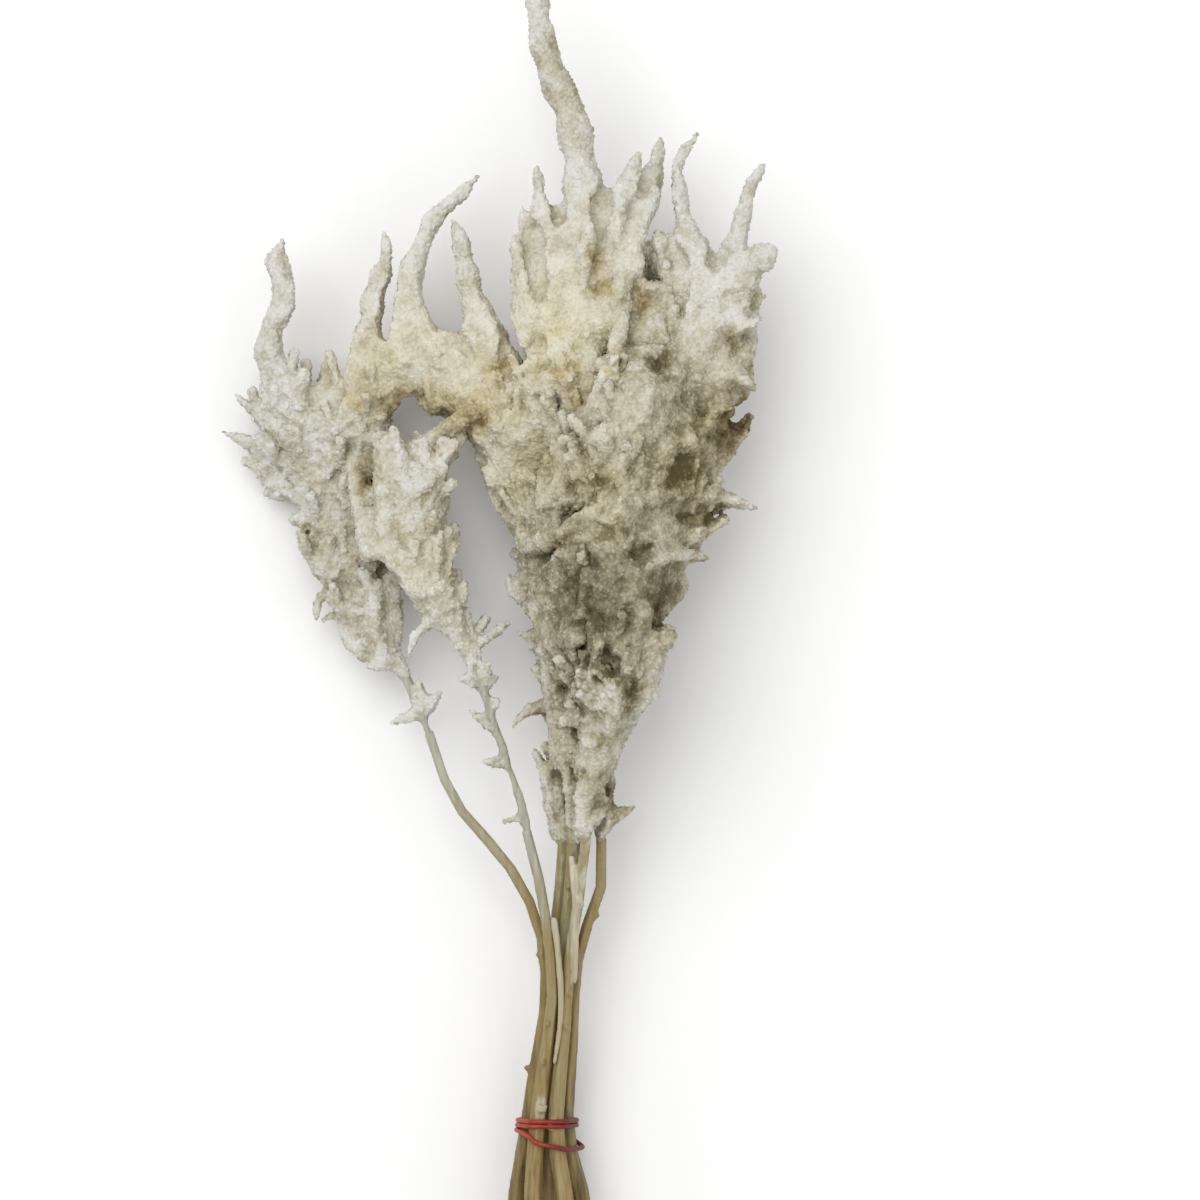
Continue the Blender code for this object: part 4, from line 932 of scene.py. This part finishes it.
def addFlorets(skin, spec, fields, heightScale, model, draw):
    count = int(3.2 * areaOf(skin.data) / crust["floretSpacing"] ** 2)
    points, outward, height = surfaceSamples(skin.data, count, draw, numbersOf(skin.data, "height"))
    turn = np.linalg.qr(draw.normal(size=(3, 3)))[0]
    chosen = evenlyPicked(points @ turn, crust["floretSpacing"], draw)
    chosen = chosen[~onStalk(points[chosen], spec, 0.9) & (points[chosen, 2] > 0.0018)]
    seats, up = points[chosen], outward[chosen]
    tone = shadedToneOf(fields, heightScale, seats, up, height[chosen])
    up = unitRows(up + crust["floretTilt"] * draw.normal(size=up.shape))
    width = draw.uniform(*crust["floretWidth"], size=len(seats))
    tall = draw.uniform(*crust["floretHeight"], size=len(seats))
    axes = axesAbout(up, draw)
    florets = copiesOf(model, "grains", seats, axes, np.stack((width, width, tall), axis=1), 0.16, draw)
    dark, warm = stainsAndShadeAt(seats)
    corners = len(model.data.vertices)
    rise = np.clip(vertexArray(model.data)[:, 2] + 0.4, 0.0, 1.0)
    setNumbers(florets.data, "tone", np.repeat(tone - dark, corners))
    setNumbers(florets.data, "warm", np.repeat(warm, corners))
    setNumbers(florets.data, "rise", np.tile(rise, len(seats)))
    setNumbers(florets.data, "speck", np.repeat(draw.uniform(size=len(seats)), corners))
    setNumbers(florets.data, "stalk", np.zeros(len(seats) * corners))
    finished(skin, "DECIMATE", decimate_type="COLLAPSE", ratio=crust["skinShare"])
    points, outward = vertexArray(skin.data), normalArray(skin.data)
    bare = onStalk(points, spec, 0.7)
    height = numbersOf(skin.data, "height")
    dark, warm = stainsAndShadeAt(points)
    setNumbers(skin.data, "tone", shadedToneOf(fields, heightScale, points, outward, height) - dark)
    setNumbers(skin.data, "warm", np.where(bare, float(spec["golden"]), warm))
    setNumbers(skin.data, "rise", np.zeros(len(points)))
    setNumbers(skin.data, "speck", np.full(len(points), 0.5))
    setNumbers(skin.data, "stalk", bare.astype(float))
    print("   skin", len(skin.data.polygons), "florets", len(seats), "x", len(model.data.polygons))
    return joined([skin, florets], skin.name)


def keepInBox(piece):
    # nothing under the floor, and the very top pressed a little flatter
    points = vertexArray(piece.data)
    points[:, 2] = np.maximum(points[:, 2], 0.0)
    over = np.maximum(points[:, 2] - layout["roof"], 0.0)
    points[:, 2] -= 0.6 * over
    piece.data.vertices.foreach_set("co", points.astype(np.float32).ravel())
    piece.data.update()


def makeHeads(look):
    draw = np.random.default_rng(7)
    models = {"bud": budModel(), "finger": fingerModel(), "floret": floretModel()}
    cadPoints = []
    for node in heads:
        mesh = frame["nodes"][node].data
        cadPoints.append(surfaceSamples(mesh, int(areaOf(mesh) * 600000), draw)[0])
    cadField = crowding(np.concatenate(cadPoints), crowd["wide"])
    cadScale = np.percentile(crowdAt(cadField, np.concatenate(cadPoints)), (5, 95))
    fingers = {node: [] for node in heads}
    for specs, sunk in ((setFingers, 0.4), (setLimbs, 1.05)):
        for spec in specs:
            owners, path, radius = fingerPath(spec, sunk)
            for place, node in enumerate(owners):
                thick = radius - (crust["inset"] if place else 0.0)
                fingers[node].append(sweptFinger(models["finger"], path, thick))
    skins = {}
    for node, spec in heads.items():
        skins[node] = makeSkin(node, spec, fingers[node], cadField, cadScale, models, draw)
        print(node, "skin", len(skins[node].data.vertices), "points,", round(time.time() - began, 1), "s")
    fields = sampleFields(skins.values())
    heightScale = np.percentile(np.concatenate([numbersOf(s.data, "height") for s in skins.values()]), (4, 96))
    total = 0
    for node, spec in heads.items():
        piece = addFlorets(skins[node], spec, fields, heightScale, models["floret"], draw)
        keepInBox(piece)
        pick(piece)
        bpy.ops.object.shade_smooth_by_angle(angle=1.0)
        piece.data.materials.clear()
        piece.data.materials.append(look)
        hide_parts(node)
        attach(piece, "root")
        piece.data.calc_loop_triangles()
        total += len(piece.data.loop_triangles)
        print(node, "has", len(piece.data.loop_triangles), "faces,", round(time.time() - began, 1), "s")
    print("heads in all", total)
    for model in models.values():
        bpy.data.objects.remove(model)


# Stems: each follows its CAD solid, with a finer, ridged and knotted surface

stems = {
    "voxel": 0.0008,
    "smoothing": 8,
    "ridges": ((5, 0.00020), (9, 0.00010)),
    "wander": 0.018,
    "share": 0.3,
    "sleeve": 0.006,
    "age": {"stem_front": 0.9, "stem_centre": 0.6, "stem_arch": 0.4, "stem_inner_left": 0.6},
    "usualAge": 0.1,
    "grey": {"stem_left": 0.085, "stem_inner_left": 0.055},
}

# Thin pale twigs that lie on the bundle, and knobs of cut shoots on it: points in plan and radii
twigs = (
    (((-3, 141), (0, 112), (1, 90), (-3, 67)), 2.1, 1.3),
    (((6, 172), (8, 140), (7.5, 108)), 1.9, 1.5),
    (((-9, 47), (-9.5, 43)), 3.0, 2.4),
    (((-6.5, 35), (-4.5, 38)), 2.3, 1.5),
    (((9, 152), (11, 146)), 2.2, 1.6),
)


def topStem(x, y):
    best = (None, -1.0)
    for node in sorted(name for name in frame["nodes"] if name.startswith("stem_")):
        hit, place, _, _ = frame["nodes"][node].ray_cast(Vector((x, y, 0.4)), Vector((0.0, 0.0, -1.0)))
        if hit and place.z > best[1]:
            best = (node, place.z)
    return best


def twigPath(points, root, tip, samples=15):
    plan = inPlan([(x, y, 0.0) for x, y in points])[:, :2]
    steps = np.concatenate(((0.0,), np.cumsum(np.linalg.norm(np.diff(plan, axis=0), axis=1))))
    share = np.linspace(0.0, 1.0, samples)
    line = softened(np.stack([np.interp(share * steps[-1], steps, plan[:, k]) for k in (0, 1)], axis=1), 3)
    radius = (root + (tip - root) * share) * 0.001
    rise = np.array([max(topStem(x + aside, y)[1] for aside in (-0.003, 0.0, 0.003)) for x, y in line])
    rise = np.where(rise < 0.0, rise.max(), rise) + 0.35 * radius
    return topStem(*line[samples // 2])[0], np.column_stack((line, softened(rise, 3))), radius


def axisOf(points):
    # the middle of a stem at each height along it
    marks = np.arange(points[:, 1].min() + 0.002, points[:, 1].max(), 0.004)
    bins = np.clip(np.searchsorted(marks, points[:, 1]) - 1, 0, len(marks) - 1)
    counts = np.maximum(np.bincount(bins, minlength=len(marks)), 1)
    middle = [np.bincount(bins, points[:, k], minlength=len(marks)) / counts for k in (0, 2)]
    return marks, middle


def makeStem(node, look, draw, model, laid):
    stem = copyOfNode(node, node.replace("stem", "bare_stem"))
    far = max(face.center.y for face in stem.data.polygons)
    for face in stem.data.polygons:
        face.select = face.center.y > far - 0.0015 and face.normal.y > 0.5
    bpy.ops.object.mode_set(mode="EDIT")
    bpy.ops.mesh.select_mode(type="FACE")
    bpy.ops.object.mode_set(mode="OBJECT")
    reach = sum((face.normal for face in stem.data.polygons if face.select), Vector()).normalized()
    bpy.ops.object.mode_set(mode="EDIT")
    bpy.ops.mesh.extrude_region_move(TRANSFORM_OT_translate={"value": reach * stems["sleeve"]})
    bpy.ops.object.mode_set(mode="OBJECT")
    onIt = [(path, radius) for owner, path, radius in laid if owner == node]
    if onIt:
        stem = joined([stem] + [sweptFinger(model, path, radius) for path, radius in onIt], stem.name)
    finished(stem, "REMESH", mode="VOXEL", voxel_size=stems["voxel"])
    finished(stem, "SMOOTH", factor=0.5, iterations=stems["smoothing"])
    points, outward = vertexArray(stem.data), normalArray(stem.data)
    marks, (middleX, middleZ) = axisOf(points)
    middleX, middleZ = softened(middleX, 4), softened(middleZ, 4)
    across = points[:, 0] - np.interp(points[:, 1], marks, middleX)
    above = points[:, 2] - np.interp(points[:, 1], marks, middleZ)
    angle = np.arctan2(above, across)
    height = np.zeros(len(points))
    for number, depth in stems["ridges"]:
        turn = draw.uniform(0, 6.28) + np.sin(points[:, 1] / stems["wander"] + draw.uniform(0, 6.28))
        height += depth * np.sin(number * angle + turn)
    pale = np.zeros(len(points))
    for path, radius in onIt:
        pale = np.maximum(pale, np.clip((radius[0] * 1.25 - distanceToLine(points, path)) / 0.0004, 0.0, 1.0))
    points += outward * height[:, None]
    stem.data.vertices.foreach_set("co", points.astype(np.float32).ravel())
    cut = np.clip((0.0012 - (points[:, 1] - points[:, 1].min())) / 0.0008, 0.0, 1.0)
    setNumbers(stem.data, "cutEnd", np.maximum(cut * (outward[:, 1] < -0.5), 0.4 * pale))
    setNumbers(stem.data, "middle", np.hypot(across, above))
    setNumbers(stem.data, "age", np.full(len(points), stems["age"].get(node, stems["usualAge"])))
    reach = stems["grey"].get(node, 0.0001)
    setNumbers(stem.data, "grey", np.clip(1.0 - (points[:, 1].max() - points[:, 1]) / reach, 0.0, 1.0))
    finished(stem, "DECIMATE", decimate_type="COLLAPSE", ratio=stems["share"])
    keepInBox(stem)
    pick(stem)
    bpy.ops.object.shade_smooth()
    stem.data.materials.clear()
    stem.data.materials.append(look)
    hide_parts(node)
    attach(stem, "root")
    return stem


# The rubber band

def makeBand(look):
    band = copyOfNode("rubber_band", "elastic_band")
    finished(band, "SUBSURF", levels=2, render_levels=2)
    finished(band, "DISPLACE", strength=0.00035, mid_level=0.0)
    pick(band)
    bpy.ops.object.shade_smooth()
    band.data.materials.clear()
    band.data.materials.append(look)
    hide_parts("rubber_band")
    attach(band, "root")


# Materials

class Wire:
    # one output of a shader node, which sums can be written with
    def __init__(self, paint, socket):
        self.paint = paint
        self.socket = socket

    def maths(self, operation, *values):
        inputs = dict(enumerate(values))
        return self.paint.node("ShaderNodeMath", {"operation": operation}, inputs)

    def __add__(self, other):
        return self.maths("ADD", self, other)

    def __radd__(self, other):
        return self.maths("ADD", other, self)

    def __sub__(self, other):
        return self.maths("SUBTRACT", self, other)

    def __rsub__(self, other):
        return self.maths("SUBTRACT", other, self)

    def __mul__(self, other):
        return self.maths("MULTIPLY", self, other)

    def __rmul__(self, other):
        return self.maths("MULTIPLY", other, self)


class Paint:
    # a material, with its nodes
    def __init__(self, name, **constants):
        self.material = bpy.data.materials.new(name)
        self.material.use_nodes = True
        self.nodes = self.material.node_tree.nodes
        self.links = self.material.node_tree.links
        self.shader = self.nodes["Principled BSDF"]
        for socket, value in constants.items():
            self.shader.inputs[socket.replace("_", " ")].default_value = value

    def node(self, kind, settings=None, inputs=None, output=0):
        made = self.nodes.new(kind)
        for name, value in (settings or {}).items():
            if name == "stops":
                self.setStops(made.color_ramp, value)
            else:
                setattr(made, name, value)
        for socket, value in (inputs or {}).items():
            if isinstance(value, Wire):
                self.links.new(value.socket, made.inputs[socket])
            else:
                made.inputs[socket].default_value = value
        return Wire(self, made.outputs[output])

    def setStops(self, ramp, stops):
        while len(ramp.elements) > 1:
            ramp.elements.remove(ramp.elements[-1])
        ramp.elements[0].position, ramp.elements[0].color = stops[0][0], (*stops[0][1], 1.0)
        for place, colour in stops[1:]:
            ramp.elements.new(place).color = (*colour, 1.0)

    def number(self, attribute):
        return self.node("ShaderNodeAttribute", {"attribute_name": attribute}, output="Fac")

    def noise(self, scale, detail=2.0, stretch=(1.0, 1.0, 1.0)):
        place = self.node("ShaderNodeTexCoord", output="Object")
        place = self.node("ShaderNodeMapping", inputs={"Vector": place, "Scale": stretch})
        return self.node("ShaderNodeTexNoise", inputs={"Vector": place, "Scale": scale, "Detail": detail})

    def cells(self, scale):
        place = self.node("ShaderNodeTexCoord", output="Object")
        return self.node("ShaderNodeTexVoronoi", inputs={"Vector": place, "Scale": scale}, output="Distance")

    def mixed(self, share, first, second):
        return self.node("ShaderNodeMix", {"data_type": "RGBA"},
                         {"Factor": share, 6: first, 7: second}, output=2)

    def feed(self, socket, wire):
        self.links.new(wire.socket, self.shader.inputs[socket])

    def bump(self, height, depth, strength=1.0):
        bump = self.node("ShaderNodeBump", inputs={"Height": height, "Distance": depth, "Strength": strength})
        self.feed("Normal", bump)


# the florets' colours, from the painted shade of the deepest hollows up to the palest tips
floretPaint = {
    "hollowShade": (0.10, 0.082, 0.038),
    "shade": (0.235, 0.205, 0.130),
    "cream": (0.455, 0.42, 0.315),
    "pale": (0.61, 0.60, 0.54),
    "tip": (0.70, 0.715, 0.70),
    "warmth": (1.0, 0.91, 0.68),
    "stalkDark": (0.22, 0.21, 0.15),
    "stalkPale": (0.58, 0.57, 0.49),
}


def paintFlorets():
    paint = Paint("bleached_florets", Roughness=0.85, Metallic=0.0)
    patches = paint.noise(45.0, 3.0)
    grains = paint.cells(530.0)
    # the level holds painted light and shade: the tone carries painted shade in hollows and a painted lit side,
    # and the edges of the grain cells are painted darker as shade between the grains
    level = paint.number("tone") * 0.80 + paint.number("rise") * 0.10
    level = level + (paint.number("speck") - 0.5) * 0.08 + (patches - 0.5) * 0.22 - grains * 0.22 + 0.24
    colour = paint.node("ShaderNodeValToRGB", {"stops": (
        (0.0, floretPaint["hollowShade"]),
        (0.25, floretPaint["shade"]),
        (0.5, floretPaint["cream"]),
        (0.75, floretPaint["pale"]),
        (1.0, floretPaint["tip"]),
    )}, {"Fac": level})
    colour = paint.node("ShaderNodeMix", {"data_type": "RGBA", "blend_type": "MULTIPLY"},
                        {"Factor": paint.number("warm"), 6: colour, 7: (*floretPaint["warmth"], 1.0)}, output=2)
    streaks = paint.noise(420.0, 3.0, (1.0, 0.06, 1.0))
    bark = paint.mixed(streaks, (*floretPaint["stalkDark"], 1.0), (*floretPaint["stalkPale"], 1.0))
    golden = paint.mixed(streaks, (*stemPaint["gold"], 1.0), (*stemPaint["pale"], 1.0))
    bark = paint.mixed(paint.number("warm"), bark, golden)
    paint.feed("Base Color", paint.mixed(paint.number("stalk"), colour, bark))
    paint.bump(1.0 - grains, 0.0006)
    return paint.material


stemPaint = {
    "low": (0.11, 0.078, 0.022),
    "gold": (0.27, 0.19, 0.062),
    "khaki": (0.285, 0.24, 0.115),
    "pale": (0.53, 0.51, 0.41),
    "pith": (0.66, 0.61, 0.47),
}


def paintStems():
    paint = Paint("dried_stems", Roughness=0.42, Metallic=0.0)
    place = paint.node("ShaderNodeTexCoord", output="Object")
    along = paint.node("ShaderNodeSeparateXYZ", inputs={"Vector": place}, output="Y")
    climb = paint.node("ShaderNodeMapRange", inputs={
        "Value": along, "From Min": float(origin[1] + 0.02), "From Max": float(origin[1] + 0.17)})
    streaks = paint.noise(420.0, 3.0, (1.0, 0.06, 1.0))
    spots = paint.noise(60.0, 2.0)
    level = climb * 0.42 + (streaks - 0.5) * 1.1 + (spots - 0.5) * 0.4
    level = level + (paint.number("age") - 0.5) * 0.3 + 0.24
    colour = paint.node("ShaderNodeValToRGB", {"stops": (
        (0.0, stemPaint["low"]),
        (0.35, stemPaint["gold"]),
        (0.65, stemPaint["khaki"]),
        (1.0, stemPaint["pale"]),
    )}, {"Fac": level})
    bark = paint.mixed(streaks, (*floretPaint["stalkDark"], 1.0), (*floretPaint["stalkPale"], 1.0))
    colour = paint.mixed(paint.number("grey"), colour, bark)
    cut = paint.number("cutEnd")
    paint.feed("Base Color", paint.mixed(cut, colour, (*stemPaint["pith"], 1.0)))
    paint.bump(streaks, 0.0004)
    return paint.material


def paintRubber():
    paint = Paint("red_rubber", Metallic=0.0, Roughness=0.42, Subsurface_Weight=0.05,
                  Subsurface_Scale=0.001)
    spots = paint.noise(300.0, 2.0)
    place = paint.node("ShaderNodeTexCoord", output="Object")
    across = paint.node("ShaderNodeSeparateXYZ", inputs={"Vector": place}, output="X")
    # the red is painted paler on the left, where the key light falls, and darker to the right as painted shade
    side = paint.node("ShaderNodeMapRange", inputs={
        "Value": across, "From Min": float(origin[0] - 0.022), "From Max": float(origin[0] + 0.010)})
    colour = paint.node("ShaderNodeValToRGB", {"stops": (
        (0.0, (0.40, 0.055, 0.012)),
        (0.5, (0.24, 0.012, 0.005)),
        (1.0, (0.10, 0.005, 0.003)),
    )}, {"Fac": side + (spots - 0.5) * 0.9})
    paint.feed("Base Color", colour)
    return paint.material


# Floor, light and camera

studio = {
    "floor": 4.0,
    "floorColour": (0.92, 0.92, 0.92),
    "sky": 0.62,
    "keyFrom": (-0.8, 0.95, 2.2),
    "keySize": 2.4,
    "keyPower": 37.0,
    "fillFrom": (1.2, -0.6, 1.8),
    "fillSize": 2.0,
    "fillPower": 8.0,
    "cameraHeight": 4.0,
    "lookHeight": 0.05,
    "sensor": 36.0,
}


def areaLight(name, place, size, power):
    light = bpy.data.lights.new(name, "AREA")
    light.shape = "DISK"
    light.size = size
    light.energy = power
    lamp = bpy.data.objects.new(name, light)
    bpy.context.scene.collection.objects.link(lamp)
    lamp.location = place
    lamp.rotation_euler = (-Vector(place)).to_track_quat("-Z", "Y").to_euler()


def makeStudio():
    bpy.ops.object.select_all(action="DESELECT")
    bpy.ops.mesh.primitive_plane_add(size=studio["floor"], location=(0.0, 0.0, 0.0))
    floor = bpy.context.object
    floor.name = "floor"
    paint = Paint("floor_paint", Base_Color=(*studio["floorColour"], 1.0), Roughness=0.9)
    floor.data.materials.append(paint.material)
    areaLight("key", studio["keyFrom"], studio["keySize"], studio["keyPower"])
    areaLight("fill", studio["fillFrom"], studio["fillSize"], studio["fillPower"])
    world = bpy.data.worlds.new("studio")
    world.use_nodes = True
    world.node_tree.nodes["Background"].inputs["Color"].default_value = (1.0, 1.0, 1.0, 1.0)
    world.node_tree.nodes["Background"].inputs["Strength"].default_value = studio["sky"]
    bpy.context.scene.world = world
    bpy.context.scene.view_settings.view_transform = "Standard"
    lens = bpy.data.cameras.new("camera")
    lens.sensor_width = studio["sensor"]
    height = studio["cameraHeight"] - studio["lookHeight"]
    lens.lens = studio["sensor"] * height / (layout["photoWidth"] * 0.001)
    lens.clip_end = 20.0
    camera = bpy.data.objects.new("camera", lens)
    bpy.context.scene.collection.objects.link(camera)
    centre = inPlan((*layout["photoCentre"], 0.0))
    camera.location = (centre[0], centre[1], studio["cameraHeight"])
    bpy.context.scene.camera = camera


laidTwigs = [twigPath(*twig) for twig in twigs]
makeStudio()
print("studio ready")
makeHeads(paintFlorets())
stemLook = paintStems()
stemDraw = np.random.default_rng(11)
twigModel = fingerModel()
for stemNode in sorted(name for name in frame["nodes"] if name.startswith("stem_")):
    made = makeStem(stemNode, stemLook, stemDraw, twigModel, laidTwigs)
    print(stemNode, "has", len(made.data.polygons), "faces")
bpy.data.objects.remove(twigModel)
makeBand(paintRubber())
print("all pieces made,", round(time.time() - began, 1), "s")
